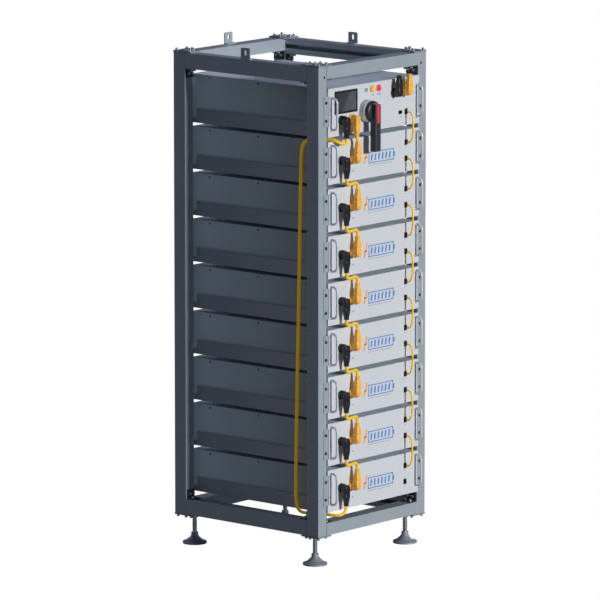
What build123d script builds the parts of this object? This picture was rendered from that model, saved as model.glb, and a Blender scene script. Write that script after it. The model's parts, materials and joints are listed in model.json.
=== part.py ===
"""High-voltage battery rack: an open metal frame on levelling feet, one control box and eight battery modules.

Frame of reference: millimetres, +Z up, the front panels face -Y, +X is to the viewer's right, and the origin is on
the floor under the middle of the frame. Module 1 is the top one, just under the control box.
"""

import os
from math import radians, tan

from build123d import *

os.makedirs("parts", exist_ok=True)

# ---------------------------------------------------------------- driving dimensions
# Frame of extruded profile
frame_width = 530.0
frame_depth = 610.0
foot_height = 100.0  # floor to the underside of the frame
post_width = 40.0
post_depth = 50.0
cross_beam_height = 40.0  # front and rear beams
side_beam_height = 50.0
profile_wall = 10.0
profile_round = 3.0
beam_slot_height = 14.0  # open slot along the inner face of each side beam

# Stack of slide-in units
battery_count = 8
unit_pitch = 150.0
battery_height = 135.0
control_height = 154.0
base_gap = 75.0  # frame underside to the lowest unit
top_gap = 71.0  # top of the control box to the top of the frame
unit_side_gap = 5.0  # post to the side of a unit
unit_rear_gap = 40.0  # rear of a unit to the rear plane of the frame
sheet = 1.5
panel_thickness = 4.0
panel_side_gap = 0.5
panel_corner = 1.5
lid_flange = 15.0
lid_clearance = 0.3

# Mounting ears and their screws
ear_bottom_gap = 22.0  # unit's underside to the ear
ear_top_gap = 16.0  # ear to a battery module's top
ear_reach = 16.3  # past the post's inner edge
ear_thickness = 2.0
ear_notch_clearance = 0.5
control_ear_centre = 82.0
screw_inset = 7.55  # ear screw, outward from the post's inner edge
screw_spacing = 57.15
ear_screw_radius = 2.5
ear_screw_head = 5.2
ear_screw_head_height = 3.0
ear_screw_length = 10.0
hole_clearance = 0.3
spare_hole_below_top = 34.0
spare_hole_radius = 4.0
spare_hole_inset = 27.0  # from the frame's outer side

# Guide rails under the units
rail_thickness = 2.5
rail_ledge = 25.0
rail_flange = 46.0
rail_end_gap = 13.0  # the tall flange stops this far short of the rear post
rail_tail_height = 16.0
rail_screw_inset = 22.0

# Corner plates, inner angles, wall brackets
plate_reach = 22.0  # past the post, both ways
plate_thickness = 5.0
plate_chamfer = 18.0
plate_bolt_edge = 8.0
plate_bolt_leg = 11.0  # past the post
plate_bolt_leg_inset = 13.0
bolt_radius = 3.0
bolt_head_radius = 4.6
bolt_head_height = 7.0
rail_bolt_head_height = 2.0
bolt_grip = 9.0  # into the frame
angle_leg = 30.0
angle_thickness = 3.0
angle_inset = 3.0  # narrower than the profile, each side
angle_bolt_spacing = 20.0
bracket_width = 38.0
bracket_height = 37.0
bracket_thickness = 3.0
bracket_foot = 16.0
bracket_round = 5.0
bracket_slot_length = 17.0
bracket_slot_width = 9.0
bracket_slot_height = 21.0

# Levelling feet
foot_inset_x = 41.0
foot_inset_y = 49.5
stud_radius = 7.0
stud_clearance = 0.05
stud_bore_clearance = 0.8
stud_bore_depth = 38.0
stud_bottom = 14.0
stud_rise = 21.0  # above the underside of the frame
nut_across_flats = 24.0
nut_height = 9.0
pad_radius = 39.0
pad_rim = 6.0
pad_hub_radius = 11.5
pad_hub_height = 36.0
pad_cone_height = 24.0
pad_cone_radius = 14.0

# Handles
handle_inset = 14.5  # from the panel's side edge
handle_bottom = 24.0  # lower leg's centre above the unit's base
handle_top_gap = 11.0  # upper leg's centre below a battery module's top
handle_reach = 25.0  # panel to the grip's centre
handle_radius = 3.6
handle_bend = 16.0
handle_foot_radius = 5.2
handle_foot_thickness = 1.2

# Power connectors, measured from the panel's left edge or right edge and the unit's base
plug_black_inset = 62.5
plug_orange_inset = 116.5
plug_black_height = 72.0
plug_orange_height = 70.0
control_orange_inset = 111.0
control_plug_height = 50.0
output_black_inset = 128.5
output_orange_inset = 78.5
output_height = 110.5
socket_radius = 14.0
socket_thickness = 6.0
socket_core_radius = 7.0
socket_core_length = 8.0
spigot_radius = 10.0
spigot_length = 9.0
plug_ring_radius = 10.5
plug_ring_length = 9.0
plug_bore_clearance = 0.4
plug_width = 22.0
plug_thickness = 17.0
plug_shoulder = 30.0  # axis to where the body starts to narrow
plug_taper = 9.0
plug_neck_radius = 6.5
plug_length = 56.5  # axis to the end of the neck
plug_round = 4.0

# Communication ports
port_inset = 66.0
port_upper_height = 94.5
port_lower_height = 42.5
control_port_height = 43.5
port_width = 14.0
port_height = 18.0
port_depth = 14.0
port_wall = 2.2
port_proud = 0.6
port_cavity_depth = 11.0
port_clearance = 0.2
usb_inset = 95.0
usb_width = 17.0
usb_height = 11.0
comm_plug_clearance = 0.3
comm_plug_length = 8.0
comm_plug_proud = 2.5
comm_boot_radius = 3.8
comm_boot_length = 5.0

# Control panel, measured from the panel's left edge and the unit's base
display_left = 30.5
display_width = 110.0
display_bottom = 69.6
display_height = 73.0
display_thickness = 2.5
display_bezel = 6.0
display_recess = 1.0
switch_inset = 186.0
switch_height = 67.0
switch_base_radius = 36.0
switch_base_thickness = 21.0
switch_shaft_radius = 6.0
switch_shaft_clearance = 0.05
switch_shaft_length = 16.0
switch_gap = 0.4
hub_radius = 33.0
hub_thickness = 14.0
hub_round = 9.0
grip_width = 27.0
grip_thickness = 14.5
grip_above = 23.0
grip_below = 127.0
grip_round = 4.0
button_inset = 184.5
button_height = 133.0
button_radius = 6.0
button_clearance = 0.05
button_proud = 3.0
button_collar_radius = 8.0
button_collar_height = 1.2
button_body_length = 16.0
button_stop_radius = 8.5
button_stop_thickness = 2.0
lamp_first_inset = 215.5
lamp_spacing = 31.0
lamp_radius = 10.0
lamp_collar = 2.0
lamp_proud = 8.0
lamp_body_radius = 8.0
lamp_body_length = 14.0

# Inside the battery modules and the control box
cell_columns = 8
cell_rows = 2
cell_thickness = 50.0
cell_depth = 165.0
cell_headroom = 17.0  # cells to the underside of the lid
cell_gap = 2.0
cell_row_gap = 6.0
board_width = 380.0
board_height = 90.0
board_thickness = 3.0
board_standoff = 38.0  # behind the tray's front wall
contactor_size = (70.0, 90.0, 80.0)
contactor_spacing = 130.0

# Cables
power_cable_diameter = 10.0
comm_cable_diameter = 6.0
arc_share = 0.45  # of the shorter run beside a corner

# ---------------------------------------------------------------- derived places
frame_height = base_gap + battery_count * unit_pitch + control_height + top_gap
frame_bottom = foot_height
frame_top = frame_bottom + frame_height
half_width = frame_width / 2
half_depth = frame_depth / 2
front_plane = -half_depth
opening_half = half_width - post_width  # the posts' inner faces
inner_depth = half_depth - post_depth
unit_half = opening_half - unit_side_gap
unit_rear = half_depth - unit_rear_gap
panel_half = opening_half - panel_side_gap
panel_front = front_plane - panel_thickness
ear_outer = opening_half + ear_reach
screw_x = opening_half + screw_inset
control_base = frame_bottom + base_gap + battery_count * unit_pitch
handle_x = panel_half - handle_inset
handle_spacing = battery_height - handle_bottom - handle_top_gap
ear_height = battery_height - ear_bottom_gap - ear_top_gap
ear_centre = ear_bottom_gap + ear_height / 2  # above a battery module's base
cell_height = battery_height - 2 * sheet - cell_headroom
sides = (-1, 1)


def battery_base(number):
    """Height of the underside of battery module 1 to 8, counted from the top."""
    return frame_bottom + base_gap + (battery_count - number) * unit_pitch


def from_left(inset):
    """X of a point on the panels, measured from their left edge."""
    return -panel_half + inset


def from_right(inset):
    """X of a point on the panels, measured from their right edge."""
    return panel_half - inset


battery_bases = [battery_base(number) for number in range(1, battery_count + 1)]
units = [(base, battery_height, ear_centre) for base in battery_bases]
units.append((control_base, control_height, control_ear_centre))
corners = [(side, end) for side in sides for end in sides]
corner_names = {(-1, -1): "front_left", (1, -1): "front_right", (-1, 1): "rear_left", (1, 1): "rear_right"}


def write(builder, label):
    """Name a finished piece and write it to its own file."""
    builder.part.label = label
    export_step(builder.part, f"parts/{label}.step")


def facing(x, y, z, direction):
    """A placement at a point whose own Z points along a direction."""
    return Plane(origin=(x, y, z), z_dir=direction).location


def front_plane_at(depth):
    """A sketch plane parallel to the front panels: its X is +X, its Y is up, and it faces the viewer."""
    return Plane(origin=(0, depth, 0), x_dir=(1, 0, 0), z_dir=(0, -1, 0))


# ---------------------------------------------------------------- where the fasteners go
def plate_bolt_points(side, end):
    """The six bolts of a top corner plate, in plan."""
    outer_x, outer_y = side * half_width, end * half_depth
    inward = [
        (plate_bolt_edge, plate_bolt_edge),
        (post_width - plate_bolt_edge, post_depth - plate_bolt_edge),
        (post_width + plate_bolt_leg, plate_bolt_leg_inset),
        (post_width + plate_bolt_leg, post_depth - plate_bolt_leg_inset),
        (plate_bolt_leg_inset - 2, post_depth + plate_bolt_leg),
        (post_width - plate_bolt_leg_inset + 2, post_depth + plate_bolt_leg),
    ]
    return [(outer_x - side * dx, outer_y - end * dy) for dx, dy in inward]


def bottom_plate_bolt_points(side, end):
    """The six bolts of a bottom corner plate, in plan, clear of the foot's lock nut."""
    outer_x, outer_y = side * half_width, end * half_depth
    inward = [
        (plate_bolt_edge, plate_bolt_edge),
        (plate_bolt_edge, post_depth - plate_bolt_edge),
        (post_width + plate_bolt_leg, plate_bolt_leg_inset),
        (post_width + 16, foot_inset_y - 17.5),
        (plate_bolt_leg_inset - 2, post_depth + plate_bolt_leg),
        (foot_inset_x - 19, post_depth + 15),
    ]
    return [(outer_x - side * dx, outer_y - end * dy) for dx, dy in inward]


plate_bolts = []
for side, end in corners:
    for x, y in plate_bolt_points(side, end):
        plate_bolts.append(facing(x, y, frame_top + plate_thickness, (0, 0, 1)))
    for x, y in bottom_plate_bolt_points(side, end):
        plate_bolts.append(facing(x, y, frame_bottom - plate_thickness, (0, 0, -1)))

angle_bolts = []
half_spread = angle_bolt_spacing / 2
for side, end in corners:
    post_mid_x = side * (half_width - post_width / 2)
    post_mid_y = end * (half_depth - post_depth / 2)
    for level in sides:
        edge = frame_top if level > 0 else frame_bottom
        cross_edge = edge - level * cross_beam_height
        side_edge = edge - level * side_beam_height
        leg_middle = angle_thickness + (angle_leg - angle_thickness) / 2
        for spread in (-half_spread, half_spread):
            face_x = side * (opening_half - angle_thickness)
            angle_bolts.append(facing(face_x, post_mid_y + spread, cross_edge - level * leg_middle, (-side, 0, 0)))
            beam_x = side * (opening_half - leg_middle)
            face_z = cross_edge - level * angle_thickness
            angle_bolts.append(facing(beam_x, post_mid_y + spread, face_z, (0, 0, -level)))
        for spread in (-half_spread / 2, half_spread / 2):
            face_y = end * (inner_depth - angle_thickness)
            angle_bolts.append(facing(post_mid_x + spread * 1.6, face_y, side_edge - level * leg_middle, (0, -end, 0)))
            beam_y = end * (inner_depth - leg_middle)
            face_z = side_edge - level * angle_thickness
            angle_bolts.append(facing(post_mid_x + spread * 1.6, beam_y, face_z, (0, 0, -level)))

rail_bolts = []
for base, height, ear in units:
    for side in sides:
        for end in sides:
            y = end * (half_depth - rail_screw_inset)
            z = base - rail_thickness + rail_tail_height / 2
            rail_bolts.append(facing(side * (opening_half - rail_thickness), y, z, (-side, 0, 0)))

ear_screws = []
for base, height, ear in units:
    for side in sides:
        for end in sides:
            z = base + ear + end * screw_spacing / 2
            ear_screws.append(facing(side * screw_x, front_plane - ear_thickness, z, (0, -1, 0)))


def inside(places, low, high, margin=1.0 + plate_thickness):
    """The placements that lie within a box, or just outside one of its faces."""
    found = []
    for place in places:
        point = place.position
        spans = zip((point.X, point.Y, point.Z), low, high)
        if all(start - margin <= value <= end + margin for value, start, end in spans):
            found.append(place)
    return found


def drill(low, high):
    """Cut every fastener hole that enters the frame member being built."""
    for places, radius, depth in (
        (plate_bolts, bolt_radius, plate_thickness + bolt_grip),
        (angle_bolts, bolt_radius, angle_thickness + bolt_grip),
        (rail_bolts, bolt_radius, angle_thickness + bolt_grip),
        (ear_screws, ear_screw_radius, ear_thickness + ear_screw_length),
    ):
        near = inside(places, low, high)
        if near:
            with Locations(*near):
                Cylinder(radius + hole_clearance, 2 * depth, mode=Mode.SUBTRACT)


def stud_bore(side, end):
    """Room for a levelling stud where the corner's three members meet."""
    x, y = side * (half_width - foot_inset_x), end * (half_depth - foot_inset_y)
    with Locations((x, y, frame_bottom)):
        Cylinder(stud_radius + stud_bore_clearance, 2 * stud_bore_depth, mode=Mode.SUBTRACT)


# ---------------------------------------------------------------- frame
for side, end in corners:
    centre = (side * (half_width - post_width / 2), end * (half_depth - post_depth / 2))
    with BuildPart() as post:
        with BuildSketch(Plane.XY.offset(frame_bottom)):
            with Locations(centre):
                RectangleRounded(post_width, post_depth, profile_round)
                Rectangle(post_width - 2 * profile_wall, post_depth - 2 * profile_wall, mode=Mode.SUBTRACT)
        extrude(amount=frame_height)
        low = (centre[0] - post_width / 2, centre[1] - post_depth / 2, frame_bottom)
        high = (centre[0] + post_width / 2, centre[1] + post_depth / 2, frame_top)
        drill(low, high)
        stud_bore(side, end)
        if end < 0:
            with Locations(facing(side * (half_width - spare_hole_inset), front_plane, frame_top - spare_hole_below_top, (0, -1, 0))):
                Cylinder(spare_hole_radius, 2 * profile_wall, mode=Mode.SUBTRACT)
    write(post, "post_" + corner_names[side, end])

for level_name, edge, level in (("top", frame_top, 1), ("bottom", frame_bottom, -1)):
    for end, end_name in ((-1, "front"), (1, "rear")):
        middle = (end * (half_depth - post_depth / 2), edge - level * cross_beam_height / 2)
        with BuildPart() as cross_beam:
            with BuildSketch(Plane.YZ.offset(-opening_half)):
                with Locations(middle):
                    Rectangle(post_depth, cross_beam_height)
                    Rectangle(
                        post_depth - 2 * profile_wall, cross_beam_height - 2 * profile_wall, mode=Mode.SUBTRACT
                    )
            extrude(amount=2 * opening_half)
            low = (-opening_half, middle[0] - post_depth / 2, middle[1] - cross_beam_height / 2)
            high = (opening_half, middle[0] + post_depth / 2, middle[1] + cross_beam_height / 2)
            drill(low, high)
            if level < 0:
                stud_bore(-1, end)
                stud_bore(1, end)
        write(cross_beam, f"beam_{level_name}_{end_name}")

    for side, side_name in ((-1, "left"), (1, "right")):
        middle = (side * (half_width - post_width / 2), edge - level * side_beam_height / 2)
        with BuildPart() as side_beam:
            with BuildSketch(Plane.XZ.offset(-inner_depth)):
                with Locations(middle):
                    Rectangle(post_width, side_beam_height)
                    Rectangle(post_width - 2 * profile_wall, side_beam_height - 2 * profile_wall, mode=Mode.SUBTRACT)
                with Locations((side * (opening_half + profile_wall / 2), middle[1])):
                    Rectangle(profile_wall + 1, beam_slot_height, mode=Mode.SUBTRACT)
            extrude(amount=2 * inner_depth)
            low = (middle[0] - post_width / 2, -inner_depth, middle[1] - side_beam_height / 2)
            high = (middle[0] + post_width / 2, inner_depth, middle[1] + side_beam_height / 2)
            drill(low, high)
            if level < 0:
                stud_bore(side, -1)
                stud_bore(side, 1)
        write(side_beam, f"beam_{level_name}_{side_name}")

# Corner plates: a rectangle over each corner with its inner corner cut off
plate_x = post_width + plate_reach
plate_y = post_depth + plate_reach
for level_name, level in (("top", 1), ("bottom", -1)):
    start = frame_top if level > 0 else frame_bottom - plate_thickness
    with BuildPart() as corner_plates:
        for side, end in corners:
            outer_x, outer_y = side * half_width, end * half_depth
            with BuildSketch(Plane.XY.offset(start)):
                with BuildLine():
                    Polyline(
                        (outer_x, outer_y),
                        (outer_x - side * plate_x, outer_y),
                        (outer_x - side * plate_x, outer_y - end * (plate_y - plate_chamfer)),
                        (outer_x - side * (plate_x - plate_chamfer), outer_y - end * plate_y),
                        (outer_x, outer_y - end * plate_y),
                        close=True,
                    )
                make_face()
                bolt_points = plate_bolt_points if level > 0 else bottom_plate_bolt_points
                with Locations(*bolt_points(side, end)):
                    Circle(bolt_radius + hole_clearance, mode=Mode.SUBTRACT)
                if level < 0:
                    with Locations((outer_x - side * foot_inset_x, outer_y - end * foot_inset_y)):
                        Circle(stud_radius + hole_clearance, mode=Mode.SUBTRACT)
            extrude(amount=plate_thickness)
    write(corner_plates, f"{level_name}_corner_plates")

# Inner angles: one along each beam at every corner
with BuildPart() as corner_brackets:
    for side, end in corners:
        post_mid_x = side * (half_width - post_width / 2)
        post_mid_y = end * (half_depth - post_depth / 2)
        for level in sides:
            edge = frame_top if level > 0 else frame_bottom
            cross_edge = edge - level * cross_beam_height
            side_edge = edge - level * side_beam_height
            with BuildSketch(Plane.XZ.offset(-post_mid_y)):
                with BuildLine():
                    Polyline(
                        (side * opening_half, cross_edge),
                        (side * (opening_half - angle_leg), cross_edge),
                        (side * (opening_half - angle_leg), cross_edge - level * angle_thickness),
                        (side * (opening_half - angle_thickness), cross_edge - level * angle_thickness),
                        (side * (opening_half - angle_thickness), cross_edge - level * angle_leg),
                        (side * opening_half, cross_edge - level * angle_leg),
                        close=True,
                    )
                make_face()
            extrude(amount=post_depth / 2 - angle_inset, both=True)
            with BuildSketch(Plane.YZ.offset(post_mid_x)):
                with BuildLine():
                    Polyline(
                        (end * inner_depth, side_edge),
                        (end * (inner_depth - angle_leg), side_edge),
                        (end * (inner_depth - angle_leg), side_edge - level * angle_thickness),
                        (end * (inner_depth - angle_thickness), side_edge - level * angle_thickness),
                        (end * (inner_depth - angle_thickness), side_edge - level * angle_leg),
                        (end * inner_depth, side_edge - level * angle_leg),
                        close=True,
                    )
                make_face()
            extrude(amount=post_width / 2 - angle_inset, both=True)
    with Locations(*angle_bolts):
        Cylinder(bolt_radius + hole_clearance, 3 * angle_thickness, mode=Mode.SUBTRACT)
write(corner_brackets, "corner_brackets")

# Wall brackets: an upright tab with a slot, and a short foot on the beam
bracket_places = [
    ((-half_width, 0), (0, 1, 0), (1, 0, 0)),
    ((half_width, 0), (0, -1, 0), (-1, 0, 0)),
    ((0, half_depth), (1, 0, 0), (0, -1, 0)),
]
with BuildPart() as wall_brackets:
    for (x, y), along, inward in bracket_places:
        tab = Plane(origin=(x, y, frame_top), x_dir=along, z_dir=inward)
        with BuildSketch(tab) as tab_shape:
            with Locations((0, bracket_height / 2)):
                Rectangle(bracket_width, bracket_height)
            fillet(tab_shape.vertices().group_by(Axis.Y)[-1], bracket_round)
            with Locations((0, bracket_slot_height)):
                SlotOverall(bracket_slot_length, bracket_slot_width, rotation=90, mode=Mode.SUBTRACT)
        extrude(amount=bracket_thickness)
        with BuildSketch(tab.offset(bracket_thickness)):
            with Locations((0, bracket_thickness / 2)):
                Rectangle(bracket_width, bracket_thickness)
        extrude(amount=bracket_foot - bracket_thickness)
write(wall_brackets, "wall_brackets")

# One cap-head bolt, its underside at Z 0 and its head above
with BuildPart() as cap_bolt:
    with BuildSketch():
        Circle(bolt_head_radius)
    extrude(amount=bolt_head_height)
    chamfer(cap_bolt.edges().sort_by(Axis.Z)[-1], 0.8)
    with BuildSketch(Plane.XY.offset(bolt_head_height)):
        RegularPolygon(bolt_head_radius / 2, 6)
    extrude(amount=-bolt_head_height / 2, mode=Mode.SUBTRACT)
    with BuildSketch():
        Circle(bolt_radius)
    extrude(amount=-(angle_thickness + bolt_grip))

# The same for the guide rails, with a head low enough for a unit to slide past it
with BuildPart() as low_bolt:
    with BuildSketch():
        Circle(bolt_head_radius)
    extrude(amount=rail_bolt_head_height)
    chamfer(low_bolt.edges().sort_by(Axis.Z)[-1], 0.6)
    with BuildSketch():
        Circle(bolt_radius)
    extrude(amount=-(angle_thickness + bolt_grip))

with BuildPart() as frame_bolts:
    with Locations(*plate_bolts, *angle_bolts):
        add(cap_bolt.part)
    with Locations(*rail_bolts):
        add(low_bolt.part)
write(frame_bolts, "frame_bolts")

# Guide rails: an angle under each side of every unit, its tall flange cut back at the rear
with BuildPart() as guide_rails:
    for base, height, ear in units:
        for side in sides:
            outer = side * opening_half
            with BuildSketch(Plane.XZ.offset(half_depth - 2)):
                with BuildLine():
                    Polyline(
                        (outer, base - rail_thickness),
                        (outer - side * rail_ledge, base - rail_thickness),
                        (outer - side * rail_ledge, base),
                        (outer - side * rail_thickness, base),
                        (outer - side * rail_thickness, base - rail_thickness + rail_flange),
                        (outer, base - rail_thickness + rail_flange),
                        close=True,
                    )
                make_face()
            extrude(amount=-(2 * half_depth - 4))
            cut_length = post_depth + rail_end_gap
            with Locations((outer, half_depth - cut_length / 2, base - rail_thickness + rail_tail_height)):
                Box(
                    3 * rail_thickness,
                    cut_length,
                    rail_flange,
                    align=(Align.CENTER, Align.CENTER, Align.MIN),
                    mode=Mode.SUBTRACT,
                )
    with Locations(*rail_bolts):
        Cylinder(bolt_radius + hole_clearance, 3 * rail_thickness, mode=Mode.SUBTRACT)
write(guide_rails, "guide_rails")

# ---------------------------------------------------------------- levelling feet
foot_points = {
    corner_names[side, end]: (side * (half_width - foot_inset_x), end * (half_depth - foot_inset_y))
    for side, end in corners
}
stud_top = frame_bottom + stud_rise
with BuildPart() as lock_nuts:
    with BuildSketch(Plane.XY.offset(frame_bottom - plate_thickness)):
        with Locations(*foot_points.values()):
            RegularPolygon(nut_across_flats / 2, 6, major_radius=False)
            Circle(stud_radius + stud_clearance, mode=Mode.SUBTRACT)
    extrude(amount=-nut_height)
write(lock_nuts, "lock_nuts")

for place, (x, y) in foot_points.items():
    with BuildPart() as stud:
        with BuildSketch(Plane.XY.offset(stud_bottom)):
            with Locations((x, y)):
                Circle(stud_radius)
        extrude(amount=stud_top - stud_bottom)
        chamfer(stud.edges().sort_by(Axis.Z)[-1], 1)
    write(stud, f"foot_{place}_stud")

    with BuildPart() as pad:
        with BuildSketch(Plane(origin=(x, y, 0), x_dir=(1, 0, 0), z_dir=(0, -1, 0))):
            with BuildLine():
                Polyline(
                    (0, 0),
                    (pad_radius, 0),
                    (pad_radius, pad_rim),
                    (pad_radius - 5, pad_rim + 2),
                    (pad_radius - 13, pad_rim + 6),
                    (pad_cone_radius + 4, pad_cone_height - 5),
                    (pad_cone_radius, pad_cone_height),
                    (pad_hub_radius, pad_cone_height),
                    (pad_hub_radius, pad_hub_height),
                    (stud_radius, pad_hub_height),
                    (stud_radius, stud_bottom),
                    (0, stud_bottom),
                    close=True,
                )
            make_face()
        revolve(axis=Axis((x, y, 0), (0, 0, 1)))
    write(pad, f"foot_{place}_pad")

# ---------------------------------------------------------------- units: trays, lids, panels
port_x = from_right(port_inset)
black_x = from_left(plug_black_inset)
orange_x = from_left(plug_orange_inset)
battery_sockets = ((black_x, plug_black_height), (orange_x, plug_orange_height))
control_orange_x = from_left(control_orange_inset)
output_black_x = from_right(output_black_inset)
output_orange_x = from_right(output_orange_inset)
control_sockets = (
    (black_x, control_plug_height),
    (control_orange_x, control_plug_height),
    (output_black_x, output_height),
    (output_orange_x, output_height),
)
battery_ports = ((port_x, port_upper_height), (port_x, port_lower_height))
usb_x = from_right(usb_inset)
switch_x = from_left(switch_inset)
switch_z = control_base + switch_height
button_x = from_left(button_inset)
button_z = control_base + button_height
lamp_xs = [from_left(lamp_first_inset + step * lamp_spacing) for step in range(2)]


def front_openings(base, sockets, ports, margin=0.0):
    """Cut the panel or the tray's front wall for sockets and ports, on the sketch being drawn."""
    with Locations(*[(x, base + z) for x, z in sockets]):
        Circle(spigot_radius + hole_clearance + margin)
    with Locations(*[(x, base + z) for x, z in ports]):
        Rectangle(port_width + 2 * port_clearance + margin, port_height + 2 * port_clearance + margin)


def control_openings(margin=0.0):
    """Cut for the control box's switch shaft, button, lamps and service port, on the sketch being drawn."""
    with Locations((switch_x, switch_z)):
        Circle(switch_shaft_radius + hole_clearance + margin)
    with Locations((button_x, button_z)):
        Circle(button_radius + button_clearance + 2 * margin)
    with Locations(*[(x, button_z) for x in lamp_xs]):
        Circle(lamp_body_radius + hole_clearance + margin)
    with Locations((usb_x, control_base + control_port_height)):
        Rectangle(usb_width + 2 * port_clearance + margin, usb_height + 2 * port_clearance + margin)


def write_tray(label, base, height, ear, is_control):
    """An open-topped box with a mounting ear bent out of each side at the front."""
    middle_y = (front_plane + unit_rear) / 2
    length = unit_rear - front_plane
    on_axis = (Align.CENTER, Align.CENTER, Align.MIN)
    with BuildPart() as tray:
        with Locations((0, middle_y, base)):
            Box(2 * unit_half, length, height - sheet, align=on_axis)
        with Locations((0, middle_y, base + sheet)):
            Box(2 * (unit_half - sheet), length - 2 * sheet, height, align=on_axis, mode=Mode.SUBTRACT)
        with BuildSketch(front_plane_at(front_plane)):
            for side in sides:
                with Locations((side * (unit_half - sheet + ear_outer) / 2, base + ear)):
                    Rectangle(ear_outer - unit_half + sheet, ear_height)
                for end in sides:
                    with Locations((side * screw_x, base + ear + end * screw_spacing / 2)):
                        Circle(ear_screw_radius + hole_clearance, mode=Mode.SUBTRACT)
        extrude(amount=ear_thickness)
        with BuildSketch(front_plane_at(front_plane)):
            if is_control:
                front_openings(base, control_sockets, [(port_x, control_port_height)], 1.0)
                control_openings(1.0)
            else:
                front_openings(base, battery_sockets, battery_ports, 1.0)
        extrude(amount=-2 * sheet, mode=Mode.SUBTRACT)
        with Locations(*inside(lid_screws, (-unit_half, front_plane, base), (unit_half, unit_rear, base + height))):
            Cylinder(lid_screw_radius + hole_clearance, 4 * sheet, mode=Mode.SUBTRACT)
    write(tray, label)


def add_lid(base, height):
    """A flat lid with turned-down sides that the tray's side screws enter."""
    middle_y = (front_plane + unit_rear) / 2
    length = unit_rear - front_plane
    inner = unit_half - sheet - lid_clearance
    on_top = (Align.CENTER, Align.CENTER, Align.MAX)
    with Locations((0, middle_y, base + height)):
        Box(2 * unit_half, length, sheet, align=on_top)
    for side in sides:
        with Locations((side * (inner - sheet / 2), middle_y, base + height - sheet)):
            Box(sheet, length - 4 * sheet, lid_flange, align=on_top)


def add_panel(base, height, ear):
    """A front plate, notched at each side where the ears come out."""
    with BuildSketch(front_plane_at(front_plane)) as plate:
        with Locations((0, base + height / 2)):
            RectangleRounded(2 * panel_half, height, panel_corner)
        for side in sides:
            with Locations((side * (unit_half - sheet - ear_notch_clearance + panel_half + 1) / 2, base + ear)):
                Rectangle(
                    panel_half + 1 - unit_half + sheet + ear_notch_clearance,
                    ear_height + 2 * ear_notch_clearance,
                    mode=Mode.SUBTRACT,
                )
    extrude(plate.sketch, amount=panel_thickness)


lid_screw_radius = 1.5
lid_screw_head = 2.8
lid_screw_head_height = 1.6
lid_screw_below_top = 9.0
lid_screw_ys = [front_plane + inset for inset in (87.0, 291.0, 495.0)]
lid_screws = []
for base, height, ear in units:
    for side in sides:
        for y in lid_screw_ys:
            lid_screws.append(facing(side * unit_half, y, base + height - lid_screw_below_top, (side, 0, 0)))

for number, base in enumerate(battery_bases, start=1):
    write_tray(f"battery_{number}_tray", base, battery_height, ear_centre, False)
write_tray("control_tray", control_base, control_height, control_ear_centre, True)

with BuildPart() as battery_lids:
    for base in battery_bases:
        add_lid(base, battery_height)
    with Locations(*[place for place in lid_screws if place.position.Z < control_base]):
        Cylinder(lid_screw_radius + hole_clearance, 8 * sheet, mode=Mode.SUBTRACT)
write(battery_lids, "battery_lids")

with BuildPart() as control_lid:
    add_lid(control_base, control_height)
    with Locations(*[place for place in lid_screws if place.position.Z > control_base]):
        Cylinder(lid_screw_radius + hole_clearance, 8 * sheet, mode=Mode.SUBTRACT)
write(control_lid, "control_lid")

with BuildPart() as battery_panels:
    for base in battery_bases:
        add_panel(base, battery_height, ear_centre)
        with BuildSketch(front_plane_at(front_plane)):
            front_openings(base, battery_sockets, battery_ports)
        extrude(amount=panel_thickness, mode=Mode.SUBTRACT)
write(battery_panels, "battery_panels")

with BuildPart() as control_panel:
    add_panel(control_base, control_height, control_ear_centre)
    with BuildSketch(front_plane_at(front_plane)):
        with Locations((button_x, button_z)):
            Circle(button_collar_radius)
    extrude(amount=panel_thickness + button_collar_height)
    with BuildSketch(front_plane_at(front_plane)):
        front_openings(control_base, control_sockets, [(port_x, control_port_height)])
        control_openings()
    extrude(amount=panel_thickness + button_collar_height, mode=Mode.SUBTRACT)
write(control_panel, "control_panel")

with BuildPart() as pan_screw:
    with BuildSketch():
        Circle(ear_screw_head)
    extrude(amount=ear_screw_head_height)
    fillet(pan_screw.edges().sort_by(Axis.Z)[-1], ear_screw_head_height * 0.6)
    with BuildSketch(Plane.XY.offset(ear_screw_head_height)):
        RegularPolygon(ear_screw_radius, 6)
    extrude(amount=-ear_screw_head_height / 2, mode=Mode.SUBTRACT)
    with BuildSketch():
        Circle(ear_screw_radius)
    extrude(amount=-ear_screw_length)

with BuildPart() as side_screw:
    with BuildSketch():
        Circle(lid_screw_head)
    extrude(amount=lid_screw_head_height)
    fillet(side_screw.edges().sort_by(Axis.Z)[-1], lid_screw_head_height * 0.6)
    with BuildSketch():
        Circle(lid_screw_radius)
    extrude(amount=-3 * sheet)

with BuildPart() as module_screws:
    with Locations(*ear_screws):
        add(pan_screw.part)
    with Locations(*lid_screws):
        add(side_screw.part)
write(module_screws, "module_screws")

# Handles: a bent rod on two round feet, two to a unit
with BuildPart() as module_handles:
    for base, height, ear in units:
        low_z, high_z = base + handle_bottom, base + handle_bottom + handle_spacing
        for side in sides:
            x = side * handle_x
            grip_y = panel_front - handle_reach
            with BuildLine():
                FilletPolyline(
                    (x, panel_front, low_z),
                    (x, grip_y, low_z),
                    (x, grip_y, high_z),
                    (x, panel_front, high_z),
                    radius=handle_bend,
                )
            with BuildSketch(Plane(origin=(x, panel_front, low_z), x_dir=(1, 0, 0), z_dir=(0, -1, 0))):
                Circle(handle_radius)
            sweep()
            with BuildSketch(front_plane_at(panel_front)):
                with Locations((x, low_z), (x, high_z)):
                    Circle(handle_foot_radius)
            extrude(amount=handle_foot_thickness)
write(module_handles, "module_handles")

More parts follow.
